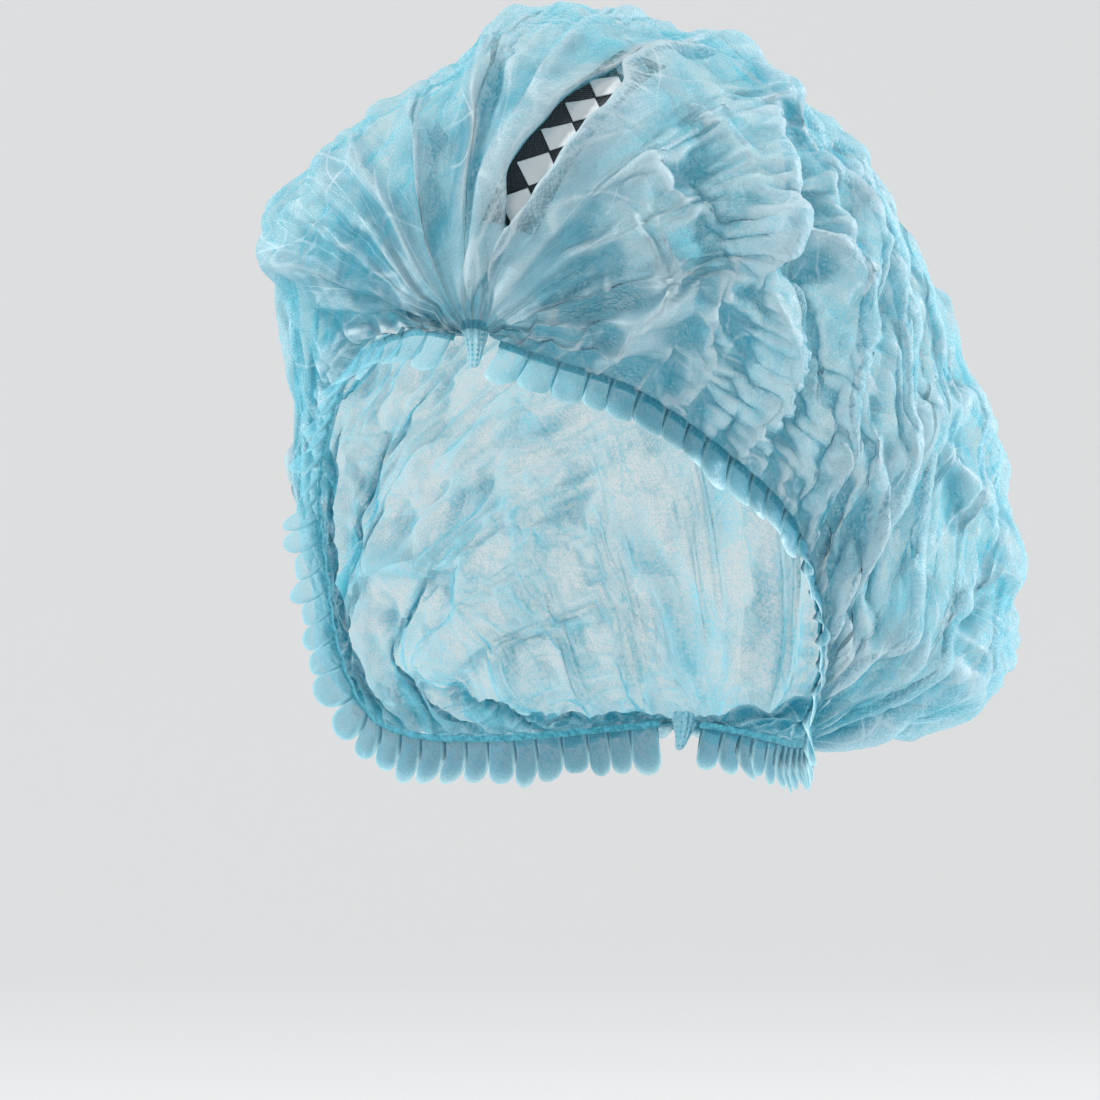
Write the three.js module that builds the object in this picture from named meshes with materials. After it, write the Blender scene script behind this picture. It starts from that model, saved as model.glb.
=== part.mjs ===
// A metal detectable hair cap: a loose cap of blue non-woven cloth, in the form it keeps on a head.
// The cloth is one wide strip, folded like an accordion and welded at both ends, so that every
// pleat runs from the front weld, over the crown, to the nape weld. An elastic runs along each
// long edge from weld to weld, and the hem past it is gathered into a frill. A dark strip with a
// chequer of thin metal tiles lies in the valley between two pleats at the front.
// Millimetres, +Z up. The face looks along -Y and +X is the wearer's left. The origin is the
// middle of the head opening, halfway between the two welds along Y.

import * as THREE from "three";

// Driving dimensions of the head opening, measured to the elastic
const headHalfWidth = 77; // over the temples
const openingReach = 80; // the front weld is this far forward of the origin, the nape weld as far behind
const openingRise = 62; // the front weld is this far above the origin
const napeDrop = 53; // the nape weld is this far below the origin

// Driving dimensions of the crown
const crownHalfWidth = 96; // at its widest, above and behind the ears
const crownRise = 158; // from the origin to the top
const browReach = 93; // from the origin forward to the front of the crown, over the forehead
const bagReach = 166; // from the origin back to the end of the bag that holds the hair
const bagLean = 9; // how far the bag hangs to the wearer's left
const clothWall = 1.2; // thickness of the cloth
const bundleDepth = 6; // of the bundle of pleats at each weld, measured out of the head

// Driving dimensions of the folds
const foldHeight = 5; // of a main fold over the smooth crown
const foldWidth = 9; // half width of a main fold
const pleats = 9; // accordion pleats across the cloth at each weld
const pleatDepth = 2.2;
const gathers = 11; // large gathers along each elastic
const gatherDepth = 1.8;
const gatherReach = 32; // how far the gathers run up from the elastic

// Driving dimensions of the trim
const elasticWidth = 2.6;
const elasticThickness = 1.4;
const frillDepth = 11; // from the elastic to the free edge
const frillPitch = 8.6; // from one scallop to the next
const frillRise = 3.2; // height of a scallop's wave at the free edge
const frillTuck = 0.06; // the flanks of a scallop are steepened by this share of the pitch
const frillFlare = 0.35; // the frill stands off the head by this share of its depth
const weldWidth = 6.8;
const weldLength = 13;
const weldTip = 1.8; // thickness of the weld at its tip
const weldRoot = 5.2; // thickness of the bundle of pleats where the weld begins
const tileSide = 7.4; // a square metal tile, set on the strip corner to corner
const tileThickness = 0.5;
const tileSeam = 0.6; // between the corners of two tiles
const tileCount = 6;
const stripThickness = 0.8;
const stripMargin = 1; // dark edge beyond the corners of the tiles

// Clearances
const gap = 0.3; // between pieces that touch on the real cap
const stripLift = 1; // under the strip, which spans the small creases of the valley
const tileLift = 0.5; // under a flat tile on the curved strip

// Resolution
const rows = 38;
const columns = 42;
const sectionSteps = 40;
const wavePoints = 6; // stations in one wave of the frill

const table = (names, values) =>
  values.map((row) => Object.fromEntries(names.map((name, k) => [name, row[k]])));

// The middle of the first and the last section, out of the head from the rim's ends
const frontTop = {
  back: -(openingReach + 0.96 * bundleDepth) / browReach,
  up: (0.97 * openingRise + 0.27 * bundleDepth) / crownRise,
};
const napeTop = {
  back: (openingReach + 0.9 * bundleDepth) / bagReach,
  up: -(napeDrop + 0.43 * bundleDepth) / crownRise,
};

// A row for each cross section of the crown, from the front weld to the nape weld.
// along is the share of the way. rimWide and rimBack place the rim as shares of headHalfWidth and
// openingReach, and rimUp as a share of openingRise, or of napeDrop below zero. tilt raises the
// rim on the wearer's right and lowers it on the left by a share of openingRise. topUp places the
// middle of the section as a share of crownRise, and topBack as one of bagReach, or of browReach
// below zero. wide is its widest half width as a share of crownHalfWidth, wideAt how far up the
// section that is, and lean is a share of bagLean.
const stations = table(
  ["along", "rimWide", "rimBack", "rimUp", "tilt", "topBack", "topUp", "wide", "wideAt", "lean"],
  [
    [0.0, 0.04, -1.0, 0.97, 0.0, frontTop.back, frontTop.up, 0.04, 0.5, 0.0],
    [0.05, 0.26, -0.97, 0.94, 0.07, -1.0, 0.57, 0.36, 0.5, 0.0],
    [0.11, 0.55, -0.84, 0.82, 0.09, -0.98, 0.73, 0.63, 0.46, 0.0],
    [0.19, 0.8, -0.59, 0.52, 0.07, -0.77, 0.905, 0.83, 0.42, 0.0],
    [0.28, 0.95, -0.36, 0.22, 0.03, -0.36, 0.98, 0.94, 0.4, 0.0],
    [0.38, 1.0, -0.2, -0.12, 0.0, 0.06, 0.98, 0.98, 0.4, 0.1],
    [0.48, 1.0, -0.09, -0.56, 0.0, 0.31, 0.9, 0.99, 0.43, 0.3],
    [0.59, 0.92, -0.02, -0.9, 0.0, 0.58, 0.74, 1.0, 0.47, 0.55],
    [0.7, 0.84, 0.2, -1.04, 0.0, 0.81, 0.46, 1.0, 0.49, 0.85],
    [0.8, 0.68, 0.48, -1.08, 0.0, 0.95, 0.14, 0.96, 0.53, 1.0],
    [0.88, 0.5, 0.74, -1.07, 0.0, 0.99, -0.16, 0.84, 0.56, 0.9],
    [0.95, 0.24, 0.94, -1.03, 0.0, 0.86, -0.36, 0.52, 0.55, 0.5],
    [1.0, 0.04, 1.0, -1.0, 0.0, napeTop.back, napeTop.up, 0.04, 0.5, 0.0],
  ],
);

// Main folds and dents of the crown. across is the share of the way over the cloth, from the rim
// on the wearer's right to the rim on the left, and along is the share of the way from the front
// weld to the nape weld. height is a share of foldHeight and below zero for a dent, and width is
// a share of foldWidth.
const folds = table(
  ["fromAcross", "fromAlong", "toAcross", "toAlong", "height", "width"],
  [
    // the fan of pleats over the front weld
    [0.3, 0.03, 0.29, 0.15, 0.7, 0.9],
    [0.39, 0.03, 0.4, 0.17, 0.8, 0.9],
    [0.5, 0.03, 0.47, 0.19, 1.0, 0.7],
    [0.57, 0.03, 0.565, 0.22, 1.3, 0.7],
    [0.66, 0.03, 0.66, 0.2, 1.4, 0.8],
    [0.67, 0.03, 0.79, 0.086, 0.8, 0.7],
    [0.71, 0.02, 0.94, 0.05, 0.8, 0.7],
    // the zigzag of crumples round the wearer's left temple
    [0.885, 0.065, 0.84, 0.167, 1.2, 0.9],
    [0.84, 0.167, 0.79, 0.195, 0.8, 0.8],
    [0.79, 0.195, 0.835, 0.29, 0.9, 0.8],
    [0.835, 0.29, 0.785, 0.39, 0.9, 0.8],
    [0.93, 0.094, 0.855, 0.16, 1.0, 0.8],
    [0.89, 0.14, 0.82, 0.2, -1.3, 0.9],
    [0.73, 0.14, 0.77, 0.14, -1.0, 1.6],
    // long folds that fan down from the top on the left
    [0.66, 0.286, 0.84, 0.169, 1.1, 0.8],
    [0.675, 0.297, 0.806, 0.266, 1.0, 0.8],
    [0.69, 0.39, 0.8, 0.34, 1.2, 0.9],
    [0.71, 0.27, 0.8, 0.22, -0.7, 0.9],
    // the folds behind the ear, the corner of the bag and its lower lobe
    [0.94, 0.383, 0.86, 0.47, 1.2, 0.9],
    [0.86, 0.47, 0.764, 0.61, 1.0, 0.9],
    [0.77, 0.79, 0.965, 0.55, 0.9, 0.9],
    [0.965, 0.617, 0.84, 0.88, 2.6, 2.6],
    // the notch beside the middle lobe, and the flatter shoulder and side on the wearer's right
    [0.43, 0.13, 0.4, 0.34, -1.3, 1.8],
    [0.33, 0.14, 0.3, 0.36, -2.0, 4.2],
    [0.1, 0.14, 0.12, 0.38, -1.3, 4.0],
    // crumples of the right side
    [0.1, 0.07, 0.18, 0.17, 1.0, 0.9],
    [0.18, 0.17, 0.22, 0.28, 0.8, 0.9],
    [0.33, 0.3, 0.2, 0.2, 0.9, 0.9],
    [0.31, 0.42, 0.2, 0.37, 0.8, 0.9],
    [0.07, 0.42, 0.22, 0.57, 1.1, 0.9],
    [0.23, 0.78, 0.05, 0.58, 1.2, 1.0],
    [0.05, 0.64, 0.18, 0.87, 1.0, 2.0],
    // folds down the back
    [0.42, 0.42, 0.36, 0.7, 0.9, 1.0],
    [0.55, 0.42, 0.58, 0.7, 1.0, 1.0],
    [0.47, 0.62, 0.44, 0.85, 0.9, 1.0],
    [0.62, 0.78, 0.56, 0.93, 0.8, 0.9],
  ],
);

// The value of one column of a table at a share of the way, on a smooth curve through its rows
function read(rowsOfTable, column, along) {
  let i = 0;
  while (i < rowsOfTable.length - 2 && along > rowsOfTable[i + 1].along) i++;
  const slope = (a, b) =>
    (rowsOfTable[b][column] - rowsOfTable[a][column]) / (rowsOfTable[b].along - rowsOfTable[a].along);
  const here = slope(i, i + 1);
  const before = i > 0 ? slope(i - 1, i + 1) : here;
  const after = i < rowsOfTable.length - 2 ? slope(i, i + 2) : here;
  const step = rowsOfTable[i + 1].along - rowsOfTable[i].along;
  const t = (along - rowsOfTable[i].along) / step;
  return (
    rowsOfTable[i][column] * (2 * t ** 3 - 3 * t ** 2 + 1) +
    rowsOfTable[i + 1][column] * (3 * t ** 2 - 2 * t ** 3) +
    before * step * (t ** 3 - 2 * t ** 2 + t) +
    after * step * (t ** 3 - t ** 2)
  );
}

// A point of the rim on one side: side is 1 for the wearer's left and -1 for the right
function rimPoint(along, side) {
  const up = read(stations, "rimUp", along);
  return new THREE.Vector3(
    side * headHalfWidth * read(stations, "rimWide", along),
    openingReach * read(stations, "rimBack", along),
    (up > 0 ? openingRise : napeDrop) * up - side * openingRise * read(stations, "tilt", along),
  );
}

// One half of a cross section, from the rim to the middle: a low arc tucked in under the widest
// place, and a quarter of an ellipse over it
function halfSection(along, side) {
  const lean = bagLean * read(stations, "lean", along);
  const rim = rimPoint(along, side);
  const foot = new THREE.Vector3(0, rim.y, rim.z);
  const back = read(stations, "topBack", along);
  const top = new THREE.Vector3(
    0,
    (back > 0 ? bagReach : browReach) * back,
    crownRise * read(stations, "topUp", along),
  );
  const up = top.sub(foot);
  const widest = Math.max(crownHalfWidth * read(stations, "wide", along), 1.02 * Math.abs(rim.x));
  const belly = read(stations, "wideAt", along);
  const start = Math.acos(Math.abs(rim.x) / widest);
  const points = [];
  for (let k = 0; k <= sectionSteps; k++) {
    const turn = -start + ((Math.PI / 2 + start) * k) / sectionSteps;
    const below = belly * (1 + Math.sin(turn) / Math.sin(start));
    const above = belly + (1 - belly) * Math.sin(turn);
    const share = turn < 0 ? below : above;
    const point = foot.clone().addScaledVector(up, share);
    point.x = side * widest * Math.cos(turn) + lean * share * share * (3 - 2 * share);
    points.push(point);
  }
  return points;
}

// Distances along a line of points, from its first point
function reaches(points) {
  const made = [0];
  for (let k = 1; k < points.length; k++) made.push(made[k - 1] + points[k].distanceTo(points[k - 1]));
  return made;
}

// The point at a distance along a line of points
function pointAt(points, distances, reach) {
  let k = 0;
  while (k < points.length - 2 && distances[k + 1] < reach) k++;
  const share = (reach - distances[k]) / (distances[k + 1] - distances[k]);
  return points[k].clone().lerp(points[k + 1], share);
}

const lerp = (a, b, t) => a + (b - a) * t;

// The smooth crown: a grid of points, a row for each section, and the length of each section
const sectionLengths = [];
const smooth = [];
for (let i = 0; i <= rows; i++) {
  const section = halfSection(i / rows, -1).concat(halfSection(i / rows, 1).reverse().slice(1));
  const distances = reaches(section);
  sectionLengths.push(distances.at(-1));
  const line = [];
  for (let j = 0; j <= columns; j++) {
    line.push(pointAt(section, distances, (distances.at(-1) * j) / columns));
  }
  smooth.push(line);
}

// Normals of a grid, facing out of the cap
function normalsOf(grid) {
  const lastRow = grid.length - 1;
  const lastColumn = grid[0].length - 1;
  return grid.map((line, i) =>
    line.map((_, j) => {
      const across = grid[i][Math.min(j + 1, lastColumn)].clone().sub(grid[i][Math.max(j - 1, 0)]);
      const along = grid[Math.min(i + 1, lastRow)][j].clone().sub(grid[Math.max(i - 1, 0)][j]);
      return across.cross(along).normalize();
    }),
  );
}

// A point of a grid at shares of the way across and along, on the same triangles as its surface
function gridPoint(grid, across, along) {
  const i = Math.min(Math.floor(along * rows), rows - 1);
  const j = Math.min(Math.floor(across * columns), columns - 1);
  const s = along * rows - i;
  const t = across * columns - j;
  const near = grid[i][j];
  const far = grid[i + 1][j + 1];
  const turn = t > s ? grid[i][j + 1] : grid[i + 1][j];
  const first = Math.max(s, t);
  const second = Math.min(s, t);
  const point = near.clone().multiplyScalar(1 - first);
  return point.addScaledVector(turn, first - second).addScaledVector(far, second);
}

// Each fold as a line of points over the smooth crown
const foldLines = folds.map((fold) => {
  const line = [];
  for (let k = 0; k <= 14; k++) {
    const across = lerp(fold.fromAcross, fold.toAcross, k / 14);
    const along = lerp(fold.fromAlong, fold.toAlong, k / 14);
    line.push(gridPoint(smooth, across, along));
  }
  return line;
});

// How far the cloth stands off the smooth crown at one point of the grid
function relief(i, j) {
  const here = smooth[i][j];
  const across = j / columns;
  const along = i / rows;
  let height = 0;
  folds.forEach((fold, k) => {
    const distance = Math.min(...foldLines[k].map((point) => point.distanceTo(here)));
    height += fold.height * foldHeight * Math.exp(-((distance / (fold.width * foldWidth)) ** 2));
  });
  const fromWeld = Math.min(along, 1 - along) / 0.08;
  height += pleatDepth * fromWeld * Math.exp(1 - fromWeld) * Math.cos(2 * Math.PI * pleats * across);
  const fromRim = (2 * Math.min(across, 1 - across) * sectionLengths[i]) / gatherReach;
  height += 2 * gatherDepth * fromRim * Math.exp(-fromRim) * Math.sin(2 * Math.PI * gathers * along);
  const ends = Math.min(1, Math.min(along, 1 - along) * 14);
  const edges = Math.min(1, Math.min(across, 1 - across) * 9);
  return height * ends * edges;
}

const smoothNormals = normalsOf(smooth);
const outside = smooth.map((line, i) =>
  line.map((point, j) => point.clone().addScaledVector(smoothNormals[i][j], relief(i, j))),
);
const outsideNormals = normalsOf(outside);
const inside = outside.map((line, i) =>
  line.map((point, j) => point.clone().addScaledVector(outsideNormals[i][j], -clothWall)),
);

function solid(points, index) {
  const geometry = new THREE.BufferGeometry();
  const numbers = points.flatMap((point) => point.toArray());
  geometry.setAttribute("position", new THREE.Float32BufferAttribute(numbers, 3));
  geometry.setIndex(index);
  return geometry;
}

// A closed solid between an upper and a lower grid of points
function sheetSolid(upper, lower) {
  const n = upper.length;
  const m = upper[0].length;
  const at = (layer, i, j) => (layer * n + i) * m + j;
  const index = [];
  const quad = (a, b, c, d) => index.push(a, b, c, a, c, d);
  for (let i = 0; i < n - 1; i++) {
    for (let j = 0; j < m - 1; j++) {
      quad(at(0, i, j), at(0, i, j + 1), at(0, i + 1, j + 1), at(0, i + 1, j));
      quad(at(1, i, j), at(1, i + 1, j), at(1, i + 1, j + 1), at(1, i, j + 1));
    }
    quad(at(0, i, 0), at(0, i + 1, 0), at(1, i + 1, 0), at(1, i, 0));
    quad(at(0, i, m - 1), at(1, i, m - 1), at(1, i + 1, m - 1), at(0, i + 1, m - 1));
  }
  for (let j = 0; j < m - 1; j++) {
    quad(at(0, 0, j), at(1, 0, j), at(1, 0, j + 1), at(0, 0, j + 1));
    quad(at(0, n - 1, j), at(0, n - 1, j + 1), at(1, n - 1, j + 1), at(1, n - 1, j));
  }
  return solid([...upper.flat(), ...lower.flat()], index);
}

// A closed solid through rings of points, each ring convex
function ringSolid(rings) {
  const m = rings[0].length;
  const index = [];
  for (let i = 0; i < rings.length - 1; i++) {
    for (let j = 0; j < m; j++) {
      const a = i * m + j;
      const b = i * m + ((j + 1) % m);
      index.push(a, b, b + m, a, b + m, a + m);
    }
  }
  const last = (rings.length - 1) * m;
  for (let j = 1; j < m - 1; j++) {
    index.push(0, j + 1, j);
    index.push(last, last + j, last + j + 1);
  }
  return solid(rings.flat(), index);
}

// Directions at the rim on one side: along it, out of the head, and down the head toward its face
function rimFrame(along, side) {
  const step = 0.002;
  const point = rimPoint(along, side);
  const ahead = rimPoint(Math.min(along + step, 1), side);
  const tangent = ahead.sub(rimPoint(Math.max(along - step, 0), side)).normalize();
  const out = new THREE.Vector3(
    point.x / headHalfWidth ** 2,
    point.y / (1.2 * openingReach) ** 2,
    (point.z - 0.2 * openingRise) / (2.1 * openingRise) ** 2,
  );
  out.addScaledVector(tangent, -out.dot(tangent)).normalize();
  const down = tangent.clone().cross(out).multiplyScalar(side);
  return { point, tangent, out, down };
}

// The rim's length, and the share of the way at a distance along it
function rimScale(side) {
  const steps = 400;
  const points = [];
  for (let k = 0; k <= steps; k++) points.push(rimPoint(k / steps, side));
  const distances = reaches(points);
  const alongAt = (reach) => {
    let k = 0;
    while (k < steps - 1 && distances[k + 1] < reach) k++;
    return (k + (reach - distances[k]) / (distances[k + 1] - distances[k])) / steps;
  };
  return { length: distances.at(-1), alongAt };
}

// The elastic of one side: a flat band beside the crown's rim
function elastic(side) {
  const { length, alongAt } = rimScale(side);
  const first = alongAt(weldWidth / 2 + 2 * gap);
  const last = alongAt(length - weldWidth / 2 - 2 * gap);
  const rings = [];
  for (let i = 0; i <= rows; i++) {
    const { point, out, down } = rimFrame(Math.min(Math.max(i / rows, first), last), side);
    const corner = (drop, height) =>
      point.clone().addScaledVector(down, drop).addScaledVector(out, height * elasticThickness);
    rings.push([
      corner(gap, -0.5),
      corner(gap + elasticWidth, -0.5),
      corner(gap + elasticWidth, 0.5),
      corner(gap, 0.5),
    ]);
  }
  return ringSolid(side < 0 ? rings : rings.map((ring) => ring.reverse()));
}

// The frill of one side: the hem past the elastic, waved more and more toward its free edge
function frill(side) {
  const { length, alongAt } = rimScale(side);
  const clear = weldWidth / 2 + frillRise;
  const waves = Math.round((length - 2 * clear) / frillPitch);
  const count = waves * wavePoints;
  const root = [];
  const edge = [];
  const thick = [];
  for (let k = 0; k <= count; k++) {
    const { point, tangent, out, down } = rimFrame(alongAt(lerp(clear, length - clear, k / count)), side);
    const phase = (2 * Math.PI * k) / wavePoints;
    const start = elasticWidth + 3 * gap;
    const wave = frillRise * Math.sin(phase);
    root.push(point.clone().addScaledVector(down, start).addScaledVector(out, 0.15 * wave));
    const free = point.clone().addScaledVector(down, start + frillDepth * 0.94);
    free.addScaledVector(out, frillFlare * frillDepth + wave);
    free.addScaledVector(tangent, -frillTuck * frillPitch * Math.sin(2 * phase));
    edge.push(free);
    thick.push(out);
  }
  const rings = root.map((_, k) => {
    const before = Math.max(k - 1, 0);
    const after = Math.min(k + 1, count);
    const face = (line) => {
      const run = line[after].clone().sub(line[before]);
      const normal = run.cross(edge[k].clone().sub(root[k])).normalize();
      return normal.multiplyScalar(Math.sign(normal.dot(thick[k])) * 0.5 * clothWall);
    };
    return [
      root[k].clone().sub(face(root)),
      edge[k].clone().sub(face(edge)),
      edge[k].clone().add(face(edge)),
      root[k].clone().add(face(root)),
    ];
  });
  return ringSolid(side < 0 ? rings : rings.map((ring) => ring.reverse()));
}

// A weld: the pleats pressed into a tongue that thins from the bundle to its rounded tip
function weld(along) {
  const left = rimFrame(along, 1);
  const middle = new THREE.Vector3(0, left.point.y, left.point.z);
  const wide = new THREE.Vector3(1, 0, 0);
  const out = left.out.clone().setX(0).normalize();
  const down = new THREE.Vector3(0, -out.z, out.y).normalize();
  if (down.z > 0) down.negate();
  const shape = table(
    ["drop", "width", "thickness", "lift"],
    [
      [0.0, 0.9, 1.0, 0.5],
      [0.25, 1.0, 0.6, 0.4],
      [0.5, 1.0, 0.35, 0.3],
      [0.85, 0.95, 0.35, 0.3],
      [0.96, 0.8, 0.32, 0.3],
      [1.0, 0.5, 0.25, 0.3],
    ],
  );
  const rings = shape.map(({ drop, width, thickness, lift }) => {
    const centre = middle.clone().addScaledVector(down, 2 * gap + drop * weldLength);
    centre.addScaledVector(out, lift * weldRoot);
    const ring = [];
    for (let k = 0; k < 8; k++) {
      const turn = (Math.PI / 4) * (k + 0.5);
      const thin = Math.max(thickness * weldRoot, weldTip);
      const point = centre.clone().addScaledVector(wide, (width * weldWidth * Math.cos(turn)) / 1.848);
      ring.push(point.addScaledVector(out, (thin * Math.sin(turn)) / 1.848));
    }
    return ring;
  });
  const turned = wide.clone().cross(out).dot(down) > 0;
  return ringSolid(turned ? rings : rings.map((ring) => ring.reverse()));
}

// The detectable strip follows the valley between the two middle pleats of the front
const stripStart = { across: 0.604, along: 0.056 };
const stripEnd = { across: 0.622, along: 0.24 };
const stripSteps = 60;
const stripLine = [];
for (let k = 0; k <= stripSteps; k++) {
  const across = lerp(stripStart.across, stripEnd.across, k / stripSteps);
  stripLine.push(gridPoint(smooth, across, lerp(stripStart.along, stripEnd.along, k / stripSteps)));
}
const stripReaches = reaches(stripLine);

// A point of the strip: sideways from its middle line, onward from its front end, height over the cloth
function stripPoint(sideways, onward, height) {
  let k = 0;
  while (k < stripSteps - 1 && stripReaches[k + 1] < onward) k++;
  const part = (onward - stripReaches[k]) / (stripReaches[k + 1] - stripReaches[k]);
  const share = (k + part) / stripSteps;
  const along = lerp(stripStart.along, stripEnd.along, share);
  const row = along * rows;
  const length = lerp(sectionLengths[Math.floor(row)], sectionLengths[Math.ceil(row)], row % 1);
  const across = lerp(stripStart.across, stripEnd.across, share) + sideways / length;
  const normal = outsideNormals[Math.round(row)][Math.round(across * columns)];
  return gridPoint(outside, across, along).addScaledVector(normal, height);
}

const tileDiagonal = tileSide * Math.SQRT2;
const tilePitch = tileDiagonal + tileSeam;
const stripWidth = tileDiagonal + 2 * stripMargin;
const stripLength = tileCount * tilePitch + 2 * stripMargin;

function strip() {
  const across = 4;
  const onward = 14;
  const layer = (height) => {
    const grid = [];
    for (let i = 0; i <= onward; i++) {
      const line = [];
      for (let j = 0; j <= across; j++) {
        line.push(stripPoint(stripWidth * (j / across - 0.5), (stripLength * i) / onward, height));
      }
      grid.push(line);
    }
    return grid;
  };
  return sheetSolid(layer(stripLift + stripThickness), layer(stripLift));
}

function tile(number) {
  const middle = stripMargin + (number - 0.5) * tilePitch;
  const half = tileDiagonal / 2;
  const low = stripLift + stripThickness + tileLift;
  const ring = (height) => [
    stripPoint(-half, middle, height),
    stripPoint(0, middle - half, height),
    stripPoint(half, middle, height),
    stripPoint(0, middle + half, height),
  ];
  return ringSolid([ring(low), ring(low + tileThickness)]);
}

const cloth = { color: 0x9fd4e4, roughness: 0.85, side: THREE.DoubleSide };
const cap = new THREE.Group();
cap.name = "metal_detectable_hair_cap";
function add(name, geometry, look) {
  const mesh = new THREE.Mesh(geometry, new THREE.MeshStandardMaterial(look));
  mesh.name = name;
  cap.add(mesh);
}

add("crown", sheetSolid(outside, inside), cloth);
for (const [name, side] of [["left", 1], ["right", -1]]) {
  add(`elastic_${name}`, elastic(side), { color: 0x2f8ea6, roughness: 0.7 });
  add(`frill_${name}`, frill(side), { ...cloth, color: 0x7cc3d8 });
}
add("front_weld", weld(0), { color: 0xbadef0, roughness: 0.5 });
add("nape_weld", weld(1), { color: 0xbadef0, roughness: 0.5 });

add("detectable_strip", strip(), { color: 0x1d252b, roughness: 0.6 });
for (let number = 1; number <= tileCount; number++) {
  add(`metal_tile_${number}`, tile(number), { color: 0xe9eef2, roughness: 0.35, metalness: 0.6 });
}

export default cap;
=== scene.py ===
# %% [markdown]
# # A metal detectable hair cap
# The cap is a single light sheet of blue non-woven polypropylene. In the factory it is folded
# like an accordion, an elastic is stitched along each long edge, and both ends are welded shut.
# On a head the pleats open like a fan between the two welds, and the elastic edges grip the head.
# This lesson builds that sheet, crumples it, and then adds the frills, elastics, welds, and the
# dark strip with square metal tiles that shows between two pleats at the front.

# %% Load the packed frame
import math

import bpy
import numpy as np
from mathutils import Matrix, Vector


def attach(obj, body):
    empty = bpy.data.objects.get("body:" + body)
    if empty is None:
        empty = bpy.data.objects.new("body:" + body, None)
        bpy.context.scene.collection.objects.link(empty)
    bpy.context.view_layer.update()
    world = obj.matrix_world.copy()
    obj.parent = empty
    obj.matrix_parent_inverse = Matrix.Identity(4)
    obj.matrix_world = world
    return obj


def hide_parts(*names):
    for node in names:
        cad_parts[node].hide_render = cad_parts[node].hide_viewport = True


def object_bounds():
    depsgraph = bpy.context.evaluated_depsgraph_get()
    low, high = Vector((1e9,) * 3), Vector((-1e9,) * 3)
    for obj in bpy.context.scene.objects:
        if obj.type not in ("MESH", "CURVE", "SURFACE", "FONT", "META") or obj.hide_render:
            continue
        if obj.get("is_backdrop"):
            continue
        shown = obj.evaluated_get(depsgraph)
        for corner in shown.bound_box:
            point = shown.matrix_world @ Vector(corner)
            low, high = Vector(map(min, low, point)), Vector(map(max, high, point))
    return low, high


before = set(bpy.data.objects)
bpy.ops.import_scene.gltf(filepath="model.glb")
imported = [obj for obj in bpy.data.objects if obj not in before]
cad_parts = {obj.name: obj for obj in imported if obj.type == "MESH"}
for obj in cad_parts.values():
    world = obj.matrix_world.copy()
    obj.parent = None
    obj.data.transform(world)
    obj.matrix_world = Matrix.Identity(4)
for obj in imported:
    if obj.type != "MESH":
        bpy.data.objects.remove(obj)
box_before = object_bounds()
print("pieces in the frame:", sorted(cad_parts))

# %% [markdown]
# ## The smooth form
# A gathered cap has no flat faces to measure, so its form is drawn as cross sections strung from
# the front weld to the nape weld. Each section runs from the rim over the wearer's right ear,
# over the head, to the rim over the left ear. Working in millimetres keeps the sizes readable;
# they turn into metres only when a mesh is made. A long smooth curve through a few sections is
# easier to adjust than a sculpted mesh, and every later step can ask it for a point.

# %% Sizes and cross sections
head_half_width = 77
opening_reach = 80
opening_rise = 62
nape_drop = 53
crown_half_width = 96
crown_rise = 158
bag_reach = 166
bag_lean = 9

columns = ["along", "rim_wide", "rim_back", "rim_up", "tilt",
           "top_back", "top_up", "wide", "wide_at", "lean"]
stations = np.array([
    [0.00, 0.04, -1.00, 0.97, 0.00, -0.517, 0.391, 0.04, 0.50, 0.00],
    [0.05, 0.26, -0.97, 0.94, 0.07, -0.560, 0.570, 0.36, 0.50, 0.00],
    [0.11, 0.55, -0.84, 0.82, 0.09, -0.550, 0.730, 0.63, 0.46, 0.00],
    [0.19, 0.80, -0.59, 0.52, 0.07, -0.430, 0.905, 0.83, 0.42, 0.00],
    [0.28, 0.95, -0.36, 0.22, 0.03, -0.200, 0.980, 0.94, 0.40, 0.00],
    [0.38, 1.00, -0.20, -0.12, 0.00, 0.060, 0.980, 0.98, 0.40, 0.10],
    [0.48, 1.00, -0.09, -0.56, 0.00, 0.310, 0.900, 0.99, 0.43, 0.30],
    [0.59, 0.92, -0.02, -0.90, 0.00, 0.580, 0.740, 1.00, 0.47, 0.55],
    [0.70, 0.84, 0.20, -1.04, 0.00, 0.810, 0.460, 1.00, 0.49, 0.85],
    [0.80, 0.68, 0.48, -1.08, 0.00, 0.950, 0.140, 0.96, 0.53, 1.00],
    [0.88, 0.50, 0.74, -1.07, 0.00, 0.990, -0.160, 0.84, 0.56, 0.90],
    [0.95, 0.24, 0.94, -1.03, 0.00, 0.860, -0.360, 0.52, 0.55, 0.50],
    [1.00, 0.04, 1.00, -1.00, 0.00, 0.513, -0.357, 0.04, 0.50, 0.00],
])


def read(column, along):
    """One column of the stations, on a smooth curve through its rows."""
    a, v = stations[:, 0], stations[:, columns.index(column)]
    along = np.atleast_1d(np.asarray(along, float))
    i = np.clip(np.searchsorted(a, along, side="left") - 1, 0, len(a) - 2)
    step = a[i + 1] - a[i]
    here = (v[i + 1] - v[i]) / step
    low, high = np.maximum(i - 1, 0), np.minimum(i + 2, len(a) - 1)
    before = np.where(i > 0, (v[i + 1] - v[low]) / (a[i + 1] - a[low]), here)
    after = np.where(i < len(a) - 2, (v[high] - v[i]) / (a[high] - a[i]), here)
    t = (along - a[i]) / step
    return (v[i] * (2 * t**3 - 3 * t**2 + 1) + v[i + 1] * (3 * t**2 - 2 * t**3)
            + before * step * (t**3 - 2 * t**2 + t) + after * step * (t**3 - t**2))


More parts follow.
